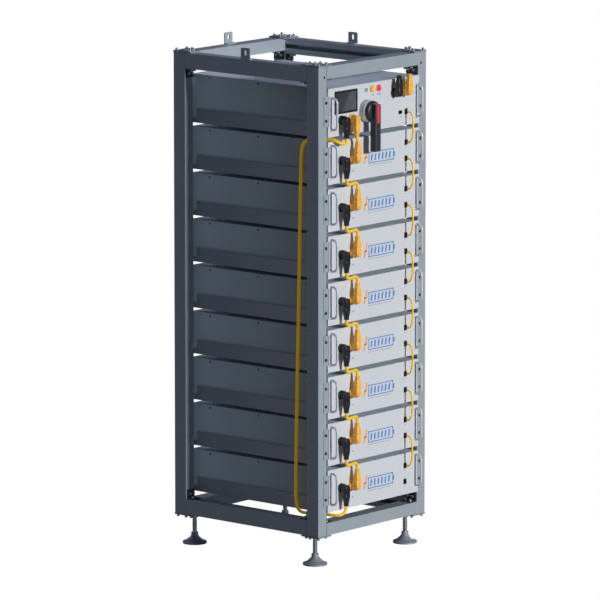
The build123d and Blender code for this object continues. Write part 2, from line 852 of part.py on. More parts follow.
# ---------------------------------------------------------------- power sockets and plugs
# Each place is X, the connector's axis height, and the way its cable leaves: -1 down, 1 up
black_places = [(black_x, base + plug_black_height, -1) for base in battery_bases]
black_places.append((black_x, control_base + control_plug_height, -1))
black_places.append((output_black_x, control_base + output_height, 1))
orange_places = [(orange_x, base + plug_orange_height, 1) for base in battery_bases]
orange_places.append((control_orange_x, control_base + control_plug_height, -1))
orange_places.append((output_orange_x, control_base + output_height, 1))
ring_start = panel_front - socket_thickness
body_start = ring_start - plug_ring_length


def add_sockets(places):
    """Round panel sockets: a flange, a core that the plug goes over, and a spigot through the panel."""
    centres = [(x, z) for x, z, way in places]
    for start, length, radius in (
        (panel_front, socket_thickness, socket_radius),
        (ring_start, socket_core_length, socket_core_radius),
        (panel_front + spigot_length, spigot_length, spigot_radius),
    ):
        with BuildSketch(front_plane_at(start)) as round_section:
            with Locations(*centres):
                Circle(radius)
        extrude(round_section.sketch, amount=length)


def add_plugs(places):
    """Right-angle plugs: a ring round the socket's core and a flat body that narrows to the cable's neck."""
    half = plug_width / 2
    for x, z, way in places:
        with BuildSketch(front_plane_at(body_start)) as body_outline:
            with BuildLine():
                shoulder = z + way * plug_shoulder
                throat = z + way * (plug_shoulder + plug_taper)
                tip = z + way * plug_length
                Polyline(
                    (x - half, z),
                    (x - half, shoulder),
                    (x - plug_neck_radius, throat),
                    (x - plug_neck_radius, tip),
                    (x + plug_neck_radius, tip),
                    (x + plug_neck_radius, throat),
                    (x + half, shoulder),
                    (x + half, z),
                )
                ThreePointArc((x + half, z), (x, z - way * half), (x - half, z))
            make_face()
        extrude(body_outline.sketch, amount=plug_thickness)
        with BuildSketch(front_plane_at(ring_start)) as ring_outline:
            with Locations((x, z)):
                Circle(plug_ring_radius)
                Circle(socket_core_radius + plug_bore_clearance, mode=Mode.SUBTRACT)
        extrude(ring_outline.sketch, amount=plug_ring_length)


for colour, places in (("black", black_places), ("orange", orange_places)):
    with BuildPart() as sockets:
        add_sockets(places)
    write(sockets, f"sockets_{colour}")
    with BuildPart() as plugs:
        add_plugs(places)
    write(plugs, f"plugs_{colour}")
plug_middle = body_start - plug_thickness / 2

# ---------------------------------------------------------------- communication ports and plugs
port_places = [(port_x, base + z) for base in battery_bases for z in (port_upper_height, port_lower_height)]
control_port = (port_x, control_base + control_port_height)
used_ports = [control_port] + port_places[:-1]
port_front = panel_front - port_proud

with BuildPart() as comm_ports:
    with BuildSketch(front_plane_at(port_front)):
        with Locations(control_port, *port_places):
            Rectangle(port_width, port_height)
        with Locations((usb_x, control_port[1])):
            Rectangle(usb_width, usb_height)
    extrude(amount=-port_depth)
    with BuildSketch(front_plane_at(port_front)):
        with Locations(control_port, *port_places):
            Rectangle(port_width - 2 * port_wall, port_height - 2 * port_wall)
        with Locations((usb_x, control_port[1])):
            Rectangle(usb_width - 2 * port_wall, usb_height - 2 * port_wall)
    extrude(amount=-port_cavity_depth, mode=Mode.SUBTRACT)
write(comm_ports, "comm_ports")

plug_tip = port_front - comm_plug_proud
with BuildPart() as comm_plugs:
    with BuildSketch(front_plane_at(plug_tip)):
        with Locations(*used_ports):
            Rectangle(
                port_width - 2 * (port_wall + comm_plug_clearance), port_height - 2 * (port_wall + comm_plug_clearance)
            )
    extrude(amount=-(comm_plug_proud + comm_plug_length))
    with BuildSketch(front_plane_at(plug_tip)):
        with Locations(*used_ports):
            Circle(comm_boot_radius)
    extrude(amount=comm_boot_length)
write(comm_plugs, "comm_plugs")
comm_exit = plug_tip - comm_boot_length

# ---------------------------------------------------------------- control panel fittings
with BuildPart() as display:
    with BuildSketch(front_plane_at(panel_front)) as display_outline:
        with Locations((from_left(display_left) + display_width / 2, control_base + display_bottom + display_height / 2)):
            RectangleRounded(display_width, display_height, 2)
    extrude(amount=display_thickness)
    with BuildSketch(front_plane_at(panel_front - display_thickness)):
        with Locations((from_left(display_left) + display_width / 2, control_base + display_bottom + display_height / 2)):
            Rectangle(display_width - 2 * display_bezel, display_height - 2 * display_bezel)
    extrude(amount=-display_recess, mode=Mode.SUBTRACT)
write(display, "display")

base_front = panel_front - switch_base_thickness
with BuildPart() as switch_base:
    with BuildSketch(front_plane_at(panel_front)):
        with Locations((switch_x, switch_z)):
            Circle(switch_base_radius)
    extrude(amount=switch_base_thickness)
    chamfer(switch_base.faces().sort_by(Axis.Y)[0].edges(), 3)
    with BuildSketch(front_plane_at(base_front)):
        with Locations((switch_x, switch_z)):
            Circle(switch_shaft_radius + switch_shaft_clearance)
    extrude(amount=-(switch_shaft_length + 2), mode=Mode.SUBTRACT)
write(switch_base, "switch_base")

hub_back = base_front - switch_gap
grip_back = hub_back - hub_thickness
with BuildPart() as switch_handle:
    with BuildSketch(front_plane_at(hub_back)):
        with Locations((switch_x, switch_z)):
            Circle(hub_radius)
    extrude(amount=hub_thickness)
    fillet(switch_handle.faces().sort_by(Axis.Y)[0].edges(), hub_round)
    with BuildSketch(front_plane_at(hub_back - hub_thickness / 2)):
        with Locations((switch_x, switch_z + (grip_above - grip_below) / 2)):
            RectangleRounded(grip_width, grip_above + grip_below, grip_round)
    extrude(amount=hub_thickness / 2 + grip_thickness)
    fillet(switch_handle.faces().sort_by(Axis.Y)[0].edges(), 2)
    with BuildSketch(front_plane_at(hub_back)):
        with Locations((switch_x, switch_z)):
            Circle(switch_shaft_radius)
    extrude(amount=-(switch_gap + switch_shaft_length))
write(switch_handle, "switch_handle")

with BuildPart() as power_button:
    with BuildSketch(front_plane_at(panel_front - button_collar_height - button_proud)):
        with Locations((button_x, button_z)):
            Circle(button_radius)
    extrude(amount=-button_body_length)
    fillet(power_button.faces().sort_by(Axis.Y)[0].edges(), 1)
    with BuildSketch(front_plane_at(front_plane + sheet + 2)):
        with Locations((button_x, button_z)):
            Circle(button_stop_radius)
    extrude(amount=-button_stop_thickness)
write(power_button, "power_button")

for label, x in (("run_lamp", lamp_xs[0]), ("alarm_lamp", lamp_xs[1])):
    with BuildPart() as lamp:
        with BuildSketch(front_plane_at(panel_front)):
            with Locations((x, button_z)):
                Circle(lamp_radius)
        extrude(amount=lamp_proud)
        fillet(lamp.faces().sort_by(Axis.Y)[0].edges(), lamp_proud - lamp_collar)
        with BuildSketch(front_plane_at(panel_front)):
            with Locations((x, button_z)):
                Circle(lamp_body_radius)
        extrude(amount=-lamp_body_length)
    write(lamp, label)

# ---------------------------------------------------------------- inside the units
cells_start = unit_rear - sheet - 8 - cell_rows * cell_depth - cell_row_gap
with BuildPart() as battery_cells:
    for base in battery_bases:
        middle = (0, cells_start + (cell_rows * cell_depth + cell_row_gap) / 2, base + sheet)
        with Locations(middle):
            with GridLocations(cell_thickness + cell_gap, cell_depth + cell_row_gap, cell_columns, cell_rows):
                Box(cell_thickness, cell_depth, cell_height, align=(Align.CENTER, Align.CENTER, Align.MIN))
write(battery_cells, "battery_cells")

with BuildPart() as battery_boards:
    for base in battery_bases:
        with BuildSketch(front_plane_at(front_plane + board_standoff)):
            with Locations((0, base + sheet + board_height / 2)):
                Rectangle(board_width, board_height)
        extrude(amount=-board_thickness)
write(battery_boards, "battery_boards")

with BuildPart() as control_contactors:
    with Locations((0, 0, control_base + sheet)):
        with GridLocations(contactor_spacing, 1, 2, 1):
            Box(*contactor_size, align=(Align.CENTER, Align.CENTER, Align.MIN))
            with Locations((0, 0, contactor_size[2])):
                Cylinder(9, 8, align=(Align.CENTER, Align.CENTER, Align.MIN))
write(control_contactors, "control_contactors")


# ---------------------------------------------------------------- cables
def corner_radii(points):
    """The radius of the arc at each corner of a route, as large as its two runs allow."""
    radii = []
    for before, corner, after in zip(points, points[1:], points[2:]):
        run_in, run_out = Vector(*corner) - Vector(*before), Vector(*after) - Vector(*corner)
        half_turn = radians(run_in.get_angle(run_out)) / 2
        radii.append(arc_share * min(run_in.length, run_out.length) / tan(half_turn))
    return radii


def add_cable(points, diameter):
    """A tube along straight runs joined by tangent arcs; returns its route's length."""
    with BuildLine() as route:
        FilletPolyline(*points, radius=corner_radii(points))
    with BuildSketch(Plane(origin=route.line @ 0, z_dir=route.line % 0)) as section:
        Circle(diameter / 2)
    sweep(section.sketch, path=route.wire())
    return route.wire().length


def shifted(points, dx, dy, dz):
    """A route moved as a whole."""
    return [(x + dx, y + dy, z + dz) for x, y, z in points]


def report_cable(label, builder, length, diameter, routes):
    """Print a node's cable lengths, its volume against section times length, and its smallest arc."""
    expected = 3.141592653589793 * (diameter / 2) ** 2 * length
    smallest = min(min(corner_radii(points)) for points in routes)
    print(f"{label}: length {length:.1f}, volume ratio {builder.part.volume / expected:.4f}, least radius {smallest:.1f}")


# From a battery's black plug to the orange plug of the battery below; heights are from the upper unit's base
jumper_route = [
    (-162.0, -332.5, 15.5),
    (-162.0, -332.5, 3.0),
    (-154.0, -333.6, -5.6),
    (-135.2, -334.2, -3.2),
    (-116.0, -333.6, -1.2),
    (-108.0, -332.5, -10.0),
    (-108.0, -332.5, -23.5),
]
# From the control box's orange plug straight down to the first battery's
short_route = [
    (-113.5, -332.5, -6.5),
    (-113.5, -332.5, -11.0),
    (-108.0, -332.5, -18.0),
    (-108.0, -332.5, -23.5),
]
# From the control box's black plug, through the gap under it and down the left side to the last black plug
return_route = [
    (-162.0, -332.5, 1368.5),
    (-162.0, -332.5, 1359.0),
    (-170.0, -334.0, 1352.0),
    (-184.0, -331.0, 1353.0),
    (-196.0, -322.0, 1362.0),
    (-203.0, -306.0, 1366.4),
    (-206.5, -284.0, 1366.2),
    (-209.0, -262.0, 1366.2),
    (-216.0, -244.0, 1366.0),
    (-229.0, -231.0, 1363.5),
    (-236.5, -219.0, 1352.0),
    (-237.6, -210.5, 1332.0),
    (-237.4, -208.0, 1300.0),
    (-237.2, -206.5, 1240.0),
    (-237.0, -204.0, 1125.0),
    (-236.8, -201.2, 990.0),
    (-236.6, -198.0, 845.0),
    (-236.6, -194.6, 700.0),
    (-236.8, -191.4, 560.0),
    (-237.0, -188.7, 425.0),
    (-237.2, -186.8, 310.0),
    (-237.4, -186.0, 230.0),
    (-237.4, -187.5, 196.0),
    (-236.8, -194.0, 174.0),
    (-234.6, -207.0, 165.0),
    (-229.0, -224.0, 163.6),
    (-218.0, -241.0, 163.8),
    (-208.5, -260.0, 164.2),
    (-205.0, -284.0, 163.6),
    (-203.0, -308.0, 163.4),
    (-194.0, -326.0, 163.6),
    (-178.0, -333.0, 166.0),
    (-162.0, -332.5, 177.0),
    (-162.0, -332.5, 190.5),
]


def comm_route(start, drop):
    """A loop from a port at a height to one straight below it, hanging in front of the panels."""
    profile = [(0, 0), (9, 0), (17.5, 0.08), (21.5, 0.24), (22.5, 0.48), (21, 0.73), (16, 0.91), (8, 1), (0, 1)]
    return [(port_x, comm_exit - out, start - share * drop) for out, share in profile]


jumper_routes = [shifted(jumper_route, 0, 0, base) for base in battery_bases[:-1]]
jumper_routes.append(shifted(short_route, 0, 0, control_base))
with BuildPart() as power_jumpers:
    jumper_length = sum(add_cable(points, power_cable_diameter) for points in jumper_routes)
write(power_jumpers, "power_jumpers")
report_cable("power_jumpers", power_jumpers, jumper_length, power_cable_diameter, jumper_routes)

with BuildPart() as return_cable:
    return_length = add_cable(return_route, power_cable_diameter)
write(return_cable, "return_cable")
report_cable("return_cable", return_cable, return_length, power_cable_diameter, [return_route])

comm_drop = unit_pitch + port_lower_height - port_upper_height
comm_routes = [comm_route(control_port[1], comm_drop + control_port_height - port_lower_height)]
comm_routes += [comm_route(base + port_lower_height, comm_drop) for base in battery_bases[:-1]]
with BuildPart() as comm_jumpers:
    comm_length = sum(add_cable(points, comm_cable_diameter) for points in comm_routes)
write(comm_jumpers, "comm_jumpers")
report_cable("comm_jumpers", comm_jumpers, comm_length, comm_cable_diameter, comm_routes)
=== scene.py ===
"""Looks of a battery pack: an open rack of battery modules under a control box.

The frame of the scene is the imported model. Lengths are in metres, X runs to the right along
the front panels, Y from the panels to the rear, and Z up from the floor.
"""

from __future__ import annotations

import json
import logging
import math
from dataclasses import dataclass, field
from enum import Enum

import bmesh
import bpy
from mathutils import Matrix, Vector

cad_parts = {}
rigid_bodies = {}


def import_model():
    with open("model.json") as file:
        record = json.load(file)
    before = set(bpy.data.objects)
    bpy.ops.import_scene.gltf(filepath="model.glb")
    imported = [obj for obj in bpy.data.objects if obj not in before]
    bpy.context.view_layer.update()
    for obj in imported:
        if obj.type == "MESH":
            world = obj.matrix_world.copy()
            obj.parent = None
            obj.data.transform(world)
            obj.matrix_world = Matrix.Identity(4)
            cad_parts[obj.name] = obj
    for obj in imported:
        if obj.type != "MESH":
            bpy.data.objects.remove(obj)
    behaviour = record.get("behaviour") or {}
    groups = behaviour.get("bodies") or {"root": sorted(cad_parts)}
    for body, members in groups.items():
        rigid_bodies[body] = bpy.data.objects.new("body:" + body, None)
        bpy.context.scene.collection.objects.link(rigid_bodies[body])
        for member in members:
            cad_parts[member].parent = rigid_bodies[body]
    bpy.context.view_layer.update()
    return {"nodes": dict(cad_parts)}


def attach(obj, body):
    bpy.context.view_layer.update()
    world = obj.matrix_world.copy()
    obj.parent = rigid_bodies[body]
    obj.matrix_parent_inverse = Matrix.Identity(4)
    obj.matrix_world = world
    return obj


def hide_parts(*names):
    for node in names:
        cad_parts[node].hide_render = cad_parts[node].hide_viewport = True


LOG = logging.getLogger("battery_pack")

Point = tuple[float, float, float]
Colour = tuple[float, float, float]

RACK = "rack"
PANEL_FRONT = -0.309
BATTERY_BASES: tuple[float, ...] = tuple(0.175 + 0.15 * (8 - number) for number in range(1, 9))
CONTROL_BASE = 1.375
PLUG_MIDDLE = -0.3325
BLACK_X = -0.162
ORANGE_X = -0.108
CONTROL_ORANGE_X = -0.1135
PORT_X = 0.1585
CABLE_EXIT = -0.3171


def srgb(red: int, green: int, blue: int) -> Colour:
    """Turn a colour given as 0 to 255 into linear light.

    Args:
        red: Red, 0 to 255.
        green: Green, 0 to 255.
        blue: Blue, 0 to 255.

    Returns:
        The colour in linear light.
    """
    return tuple(((value / 255 + 0.055) / 1.055) ** 2.4 if value > 10 else value / 3294.6 for value in (red, green, blue))


class Grain(Enum):
    """How a surface's fine relief runs."""

    EVEN = (1.0, 1.0, 1.0)
    DRAWN_UP = (1.0, 1.0, 0.03)
    DRAWN_ACROSS = (0.03, 1.0, 1.0)
    TURNED = (1.0, 1.0, 0.3)


@dataclass(frozen=True)
class Finish:
    """A surface finish with its mottling, gloss variation and fine relief."""

    name: str
    colour: Colour
    roughness: float
    metallic: float = 0.0
    mottle: float = 0.06
    mottle_scale: float = 9.0
    gloss_spread: float = 0.08
    relief: float = 0.12
    relief_scale: float = 900.0
    relief_depth: float = 0.0004
    grain: Grain = Grain.EVEN
    coat: float = 0.0
    glow_and_painted_light: float = 0.0
    clear: float = 0.0
    front: Colour | None = None
    painted_rear_light_gain: float = 1.0

    def material(self) -> bpy.types.Material:
        """Build the finish, or fetch it if it is there already."""
        label = f"{self.name}_finish"
        found = bpy.data.materials.get(label)
        if found is not None:
            return found
        made = bpy.data.materials.new(label)
        made.use_nodes = True
        made.diffuse_color = (*self.colour, 1.0)
        tree = made.node_tree
        shader = tree.nodes["Principled BSDF"]
        shader.inputs["Metallic"].default_value = self.metallic
        if self.coat:
            shader.inputs["Coat Weight"].default_value = self.coat
            shader.inputs["Coat Roughness"].default_value = 0.12
        if self.clear:
            shader.inputs["Transmission Weight"].default_value = self.clear
        # Emission: lamp glow on the lenses, and painted light lifting the shaded sides of the amber mouldings and the
        # yellow cable.
        if self.glow_and_painted_light:
            shader.inputs["Emission Color"].default_value = (*self.colour, 1.0)
            shader.inputs["Emission Strength"].default_value = self.glow_and_painted_light
        place = tree.nodes.new("ShaderNodeTexCoord").outputs["Object"]
        colour = self._mottled(tree, place)
        tree.links.new(colour, shader.inputs["Base Color"])
        self._gloss(tree, place, shader)
        self._relief(tree, place, shader)
        return made

    def _mottled(self, tree: bpy.types.NodeTree, place: bpy.types.NodeSocket) -> bpy.types.NodeSocket:
        """Vary the colour slowly over the surface.

        Args:
            tree: The material's nodes.
            place: Where on the piece.

        Returns:
            The colour's socket.
        """
        clouds = tree.nodes.new("ShaderNodeTexNoise")
        clouds.inputs["Scale"].default_value = self.mottle_scale
        clouds.inputs["Detail"].default_value = 4.0
        tree.links.new(place, clouds.inputs["Vector"])
        mix = tree.nodes.new("ShaderNodeMix")
        mix.data_type = "RGBA"
        mix.inputs["A"].default_value = (*(channel * (1 - self.mottle) for channel in self.colour), 1.0)
        mix.inputs["B"].default_value = (*(min(1.0, channel * (1 + self.mottle)) for channel in self.colour), 1.0)
        tree.links.new(clouds.outputs["Fac"], mix.inputs["Factor"])
        if self.front is None:
            return mix.outputs["Result"]
        return self._painted_side_light(tree, place, mix.outputs["Result"])

    def _painted_side_light(self, tree: bpy.types.NodeTree, place: bpy.types.NodeSocket, colour: bpy.types.NodeSocket) -> bpy.types.NodeSocket:
        """Paint light onto the tray's sides: the paint is lightest at the rear and fades darker towards the front, a
        painted reflected light; the mounting ears keep their own plain paint colour.

        Args:
            tree: The material's nodes.
            place: Where on the piece.
            colour: The paint's colour at the rear, where the painted light is strongest.

        Returns:
            The colour's socket.
        """
        split = tree.nodes.new("ShaderNodeSeparateXYZ")
        tree.links.new(place, split.inputs["Vector"])
        painted_light_fade = tree.nodes.new("ShaderNodeMapRange")
        painted_light_fade.interpolation_type = "SMOOTHSTEP"
        painted_light_fade.inputs["From Min"].default_value = -0.30
        painted_light_fade.inputs["From Max"].default_value = 0.27
        painted_light_fade.inputs["To Min"].default_value = 1.0 / self.painted_rear_light_gain
        painted_light_fade.inputs["To Max"].default_value = 1.0
        tree.links.new(split.outputs["Y"], painted_light_fade.inputs["Value"])
        deep = tree.nodes.new("ShaderNodeVectorMath")
        deep.operation = "SCALE"
        tree.links.new(colour, deep.inputs[0])
        tree.links.new(painted_light_fade.outputs["Result"], deep.inputs["Scale"])
        ear = tree.nodes.new("ShaderNodeMapRange")
        ear.inputs["From Min"].default_value = -0.3049
        ear.inputs["From Max"].default_value = -0.3047
        tree.links.new(split.outputs["Y"], ear.inputs["Value"])
        both = tree.nodes.new("ShaderNodeMix")
        both.data_type = "RGBA"
        both.inputs["A"].default_value = (*self.front, 1.0)
        tree.links.new(ear.outputs["Result"], both.inputs["Factor"])
        tree.links.new(deep.outputs["Vector"], both.inputs["B"])
        return both.outputs["Result"]

    def _gloss(self, tree: bpy.types.NodeTree, place: bpy.types.NodeSocket, shader: bpy.types.Node) -> None:
        """Vary the roughness in soft patches.

        Args:
            tree: The material's nodes.
            place: Where on the piece.
            shader: The surface shader.
        """
        patches = tree.nodes.new("ShaderNodeTexNoise")
        patches.inputs["Scale"].default_value = self.mottle_scale * 4
        patches.inputs["Detail"].default_value = 3.0
        tree.links.new(place, patches.inputs["Vector"])
        spread = tree.nodes.new("ShaderNodeMapRange")
        spread.inputs["To Min"].default_value = max(0.02, self.roughness - self.gloss_spread)
        spread.inputs["To Max"].default_value = min(1.0, self.roughness + self.gloss_spread)
        tree.links.new(patches.outputs["Fac"], spread.inputs["Value"])
        tree.links.new(spread.outputs["Result"], shader.inputs["Roughness"])

    def _relief(self, tree: bpy.types.NodeTree, place: bpy.types.NodeSocket, shader: bpy.types.Node) -> None:
        """Add the fine texture of paint, moulding or drawing marks.

        Args:
            tree: The material's nodes.
            place: Where on the piece.
            shader: The surface shader.
        """
        along = tree.nodes.new("ShaderNodeMapping")
        along.inputs["Scale"].default_value = self.grain.value
        tree.links.new(place, along.inputs["Vector"])
        specks = tree.nodes.new("ShaderNodeTexNoise")
        specks.inputs["Scale"].default_value = self.relief_scale
        specks.inputs["Detail"].default_value = 2.0
        tree.links.new(along.outputs["Vector"], specks.inputs["Vector"])
        bump = tree.nodes.new("ShaderNodeBump")
        bump.inputs["Strength"].default_value = self.relief
        bump.inputs["Distance"].default_value = self.relief_depth
        tree.links.new(specks.outputs["Fac"], bump.inputs["Height"])
        tree.links.new(bump.outputs["Normal"], shader.inputs["Normal"])


FRAME_PAINT = Finish("frame_powder_coat", srgb(170, 181, 189), 0.42, metallic=0.2, relief_scale=700)
# The case's sides carry painted light: a near-white bluish base that fades darker towards the front stands in for
# reflected light, while the ears keep a plain grey paint.
CASE_PAINT_AND_PAINTED_LIGHT = Finish("case_coat_and_painted_light", (0.80, 0.97, 1.0), 0.5, mottle=0.03, relief_scale=800, front=srgb(159, 169, 177), painted_rear_light_gain=2.3)
LID_PAINT = Finish("lid_powder_coat", srgb(224, 234, 248), 0.5, mottle=0.04, relief_scale=800)
PANEL_PAINT = Finish("panel_powder_coat", srgb(214, 219, 223), 0.45, mottle=0.02, relief_scale=900)
SLATE_STEEL = Finish("slate_coated_steel", srgb(142, 150, 161), 0.4, metallic=0.2, mottle=0.12, relief_scale=600)
BLACK_STEEL = Finish("black_coated_steel", srgb(58, 62, 70), 0.4, mottle=0.15, relief_scale=600)
SCREW_STEEL = Finish("dark_screw_steel", srgb(66, 70, 77), 0.3, metallic=0.5, grain=Grain.TURNED)
BRIGHT_STEEL = Finish("bright_zinc", srgb(205, 208, 212), 0.28, metallic=0.9, grain=Grain.TURNED)
FOOT_PLASTIC = Finish("foot_casting", srgb(158, 165, 176), 0.4, metallic=0.2, mottle=0.15, relief_scale=500)
HANDLE_STEEL = Finish("handle_steel", srgb(214, 221, 228), 0.34, metallic=0.15, grain=Grain.DRAWN_UP)
CELL_FILM = Finish("cell_film", srgb(40, 90, 170), 0.35)
BOARD_MASK = Finish("board_mask", srgb(30, 105, 60), 0.4)
BLACK_PLASTIC = Finish("black_moulding", srgb(36, 38, 44), 0.36, mottle=0.12, relief_scale=1100)
BLACK_GLOSS = Finish("black_switch_moulding", srgb(50, 54, 61), 0.38, mottle=0.1, relief_scale=900)
# The amber mouldings and the yellow cable carry a weak emission, painted light that brightens their shaded sides.
ORANGE_PLASTIC = Finish("amber_moulding", srgb(255, 187, 76), 0.42, mottle=0.04, relief_scale=1100, glow_and_painted_light=0.07)
CABLE_JACKET = Finish("yellow_cable_jacket", srgb(255, 200, 30), 0.38, mottle=0.04, relief_scale=1400, glow_and_painted_light=0.13)
GREY_PLASTIC = Finish("grey_moulding", srgb(150, 155, 162), 0.45, mottle=0.05)
SWITCH_GREY = Finish("switch_plate_grey", srgb(204, 211, 218), 0.4, mottle=0.04)
YELLOW_LENS = Finish("yellow_lens", srgb(255, 186, 44), 0.2, coat=0.4, glow_and_painted_light=0.22)
RED_LENS = Finish("red_lens", srgb(255, 54, 80), 0.2, coat=0.4, glow_and_painted_light=0.22)
RED_INLAY = Finish("red_inlay", srgb(255, 60, 80), 0.35, mottle=0.03)
BLUE_INK = Finish("blue_ink", srgb(92, 146, 212), 0.45, mottle=0.03)
AMBER_INK = Finish("amber_ink", srgb(255, 170, 70), 0.45, mottle=0.03)
GREY_INK = Finish("grey_ink", srgb(150, 156, 164), 0.5, mottle=0.03)
# Lighter grey for the grip's raised edge: a painted highlight along the edge.
SWITCH_EDGE_HIGHLIGHT = Finish("switch_edge_painted_highlight", srgb(104, 109, 117), 0.35, mottle=0.05, relief_scale=900)
# Near-black painted shade, put inside the spare holes where there is only shadow.
BORE_PAINTED_SHADE = Finish("bore_painted_shade", srgb(22, 24, 28), 0.7, mottle=0.1)
DARK_INK = Finish("dark_ink", srgb(60, 62, 66), 0.5, mottle=0.03)
BEZEL_BLACK = Finish("bezel_black", srgb(30, 31, 34), 0.3, mottle=0.08)
GILT = Finish("gilt_contact", srgb(210, 165, 70), 0.25, metallic=1.0)
PALE_LED = Finish("pale_led", srgb(150, 175, 215), 0.25, coat=0.5)

NODE_FINISHES: dict[str, Finish] = {
    "post_": FRAME_PAINT,
    "beam_": FRAME_PAINT,
    "guide_rails": FRAME_PAINT,
    "wall_brackets": FRAME_PAINT,
    "top_corner_plates": SLATE_STEEL,
    "bottom_corner_plates": SLATE_STEEL,
    "corner_brackets": BLACK_STEEL,
    "frame_bolts": BRIGHT_STEEL,
    "lock_nuts": BRIGHT_STEEL,
    "module_screws": SCREW_STEEL,
    "module_handles": HANDLE_STEEL,
    "battery_panels": PANEL_PAINT,
    "control_panel": PANEL_PAINT,
    "battery_lids": LID_PAINT,
    "control_lid": LID_PAINT,
    "control_tray": CASE_PAINT_AND_PAINTED_LIGHT,
    "battery_cells": CELL_FILM,
    "battery_boards": BOARD_MASK,
    "battery_": CASE_PAINT_AND_PAINTED_LIGHT,
    "control_contactors": BLACK_PLASTIC,
    "sockets_black": BLACK_PLASTIC,
    "sockets_orange": ORANGE_PLASTIC,
    "plugs_black": BLACK_PLASTIC,
    "plugs_orange": ORANGE_PLASTIC,
    "comm_ports": BLACK_PLASTIC,
    "comm_plugs": BLACK_PLASTIC,
    "power_jumpers": CABLE_JACKET,
    "return_cable": CABLE_JACKET,
    "comm_jumpers": CABLE_JACKET,
    "display": BEZEL_BLACK,
    "switch_base": SWITCH_GREY,
    "switch_handle": BLACK_GLOSS,
    "power_button": GREY_PLASTIC,
    "run_lamp": YELLOW_LENS,
    "alarm_lamp": RED_LENS,
}


def finish_for(node: str) -> Finish:
    """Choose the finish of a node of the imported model.

    Args:
        node: The node's name.

    Returns:
        Its finish.
    """
    if node.endswith("_stud"):
        return BRIGHT_STEEL
    if node.endswith("_pad"):
        return FOOT_PLASTIC
    best = max((key for key in NODE_FINISHES if node.startswith(key)), key=len)
    return NODE_FINISHES[best]


def dress_nodes(nodes: dict[str, bpy.types.Object]) -> None:
    """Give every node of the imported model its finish.

    Args:
        nodes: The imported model's objects by name.
    """
    for name, node in nodes.items():
        node.data.materials.clear()
        node.data.materials.append(finish_for(name).material())


def add_piece(name: str, shape: bmesh.types.BMesh, finish: Finish, body: str = RACK, smooth: bool = True) -> bpy.types.Object:
    """Turn a shape into a piece that rides on a body.

    Args:
        name: The piece's name.
        shape: Its shape, which is used up.
        finish: What it is made of.
        body: The body that it moves with.
        smooth: Whether its rounded faces are shaded as one.

    Returns:
        The piece.
    """
    bmesh.ops.remove_doubles(shape, verts=shape.verts, dist=1e-6)
    bmesh.ops.recalc_face_normals(shape, faces=shape.faces)
    mesh = bpy.data.meshes.new(name)
    shape.to_mesh(mesh)
    shape.free()
    if smooth:
        mesh.shade_smooth()
        mesh.set_sharp_from_angle(angle=math.radians(40))
    piece = bpy.data.objects.new(name, mesh)
    bpy.context.scene.collection.objects.link(piece)
    mesh.materials.append(finish.material())
    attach(piece, body)
    LOG.info("%s: %d faces", name, len(mesh.polygons))
    return piece


def rounded_box(shape: bmesh.types.BMesh, low: Point, high: Point, round_by: float, segments: int = 2) -> list[bmesh.types.BMVert]:
    """Add a box with rounded edges.

    Args:
        shape: The shape that it joins.
        low: Its lowest corner.
        high: Its highest corner.
        round_by: The rounding's size.
        segments: Faces across the rounding.

    Returns:
        The vertices that it starts from.
    """
    size = Vector(high) - Vector(low)
    middle = (Vector(high) + Vector(low)) / 2
    made = bmesh.ops.create_cube(shape, size=1.0, matrix=Matrix.Translation(middle) @ Matrix.Diagonal((*size, 1.0)))
    edges = list({edge for vert in made["verts"] for edge in vert.link_edges})
    if round_by:
        bmesh.ops.bevel(shape, geom=edges, offset=round_by, segments=segments, profile=0.5, affect="EDGES", material=-1)
    return made["verts"]


def disc(shape: bmesh.types.BMesh, centre: Point, radius: float, depth: float, round_by: float = 0.0, sides: int = 32) -> None:
    """Add a round plate that lies against the panels and faces the front.

    Args:
        shape: The shape that it joins.
        centre: The middle of its rear face.
        radius: Its radius.
        depth: How far it stands towards the front.
        round_by: The rounding of its front edge.
        sides: Faces around it.
    """
    turn = Matrix.Rotation(math.radians(90), 4, "X")
    made = bmesh.ops.create_circle(shape, cap_ends=True, segments=sides, radius=radius, matrix=Matrix.Translation(centre) @ turn)
    faces = list({face for vert in made["verts"] for face in vert.link_faces})
    out = bmesh.ops.extrude_face_region(shape, geom=faces)
    moved = [part for part in out["geom"] if isinstance(part, bmesh.types.BMVert)]
    bmesh.ops.translate(shape, verts=moved, vec=(0, -depth, 0))
    if round_by:
        rim = {edge for vert in moved for edge in vert.link_edges if all(end in moved for end in edge.verts)}
        bmesh.ops.bevel(shape, geom=list(rim), offset=round_by, segments=3, profile=0.5, affect="EDGES", material=-1)


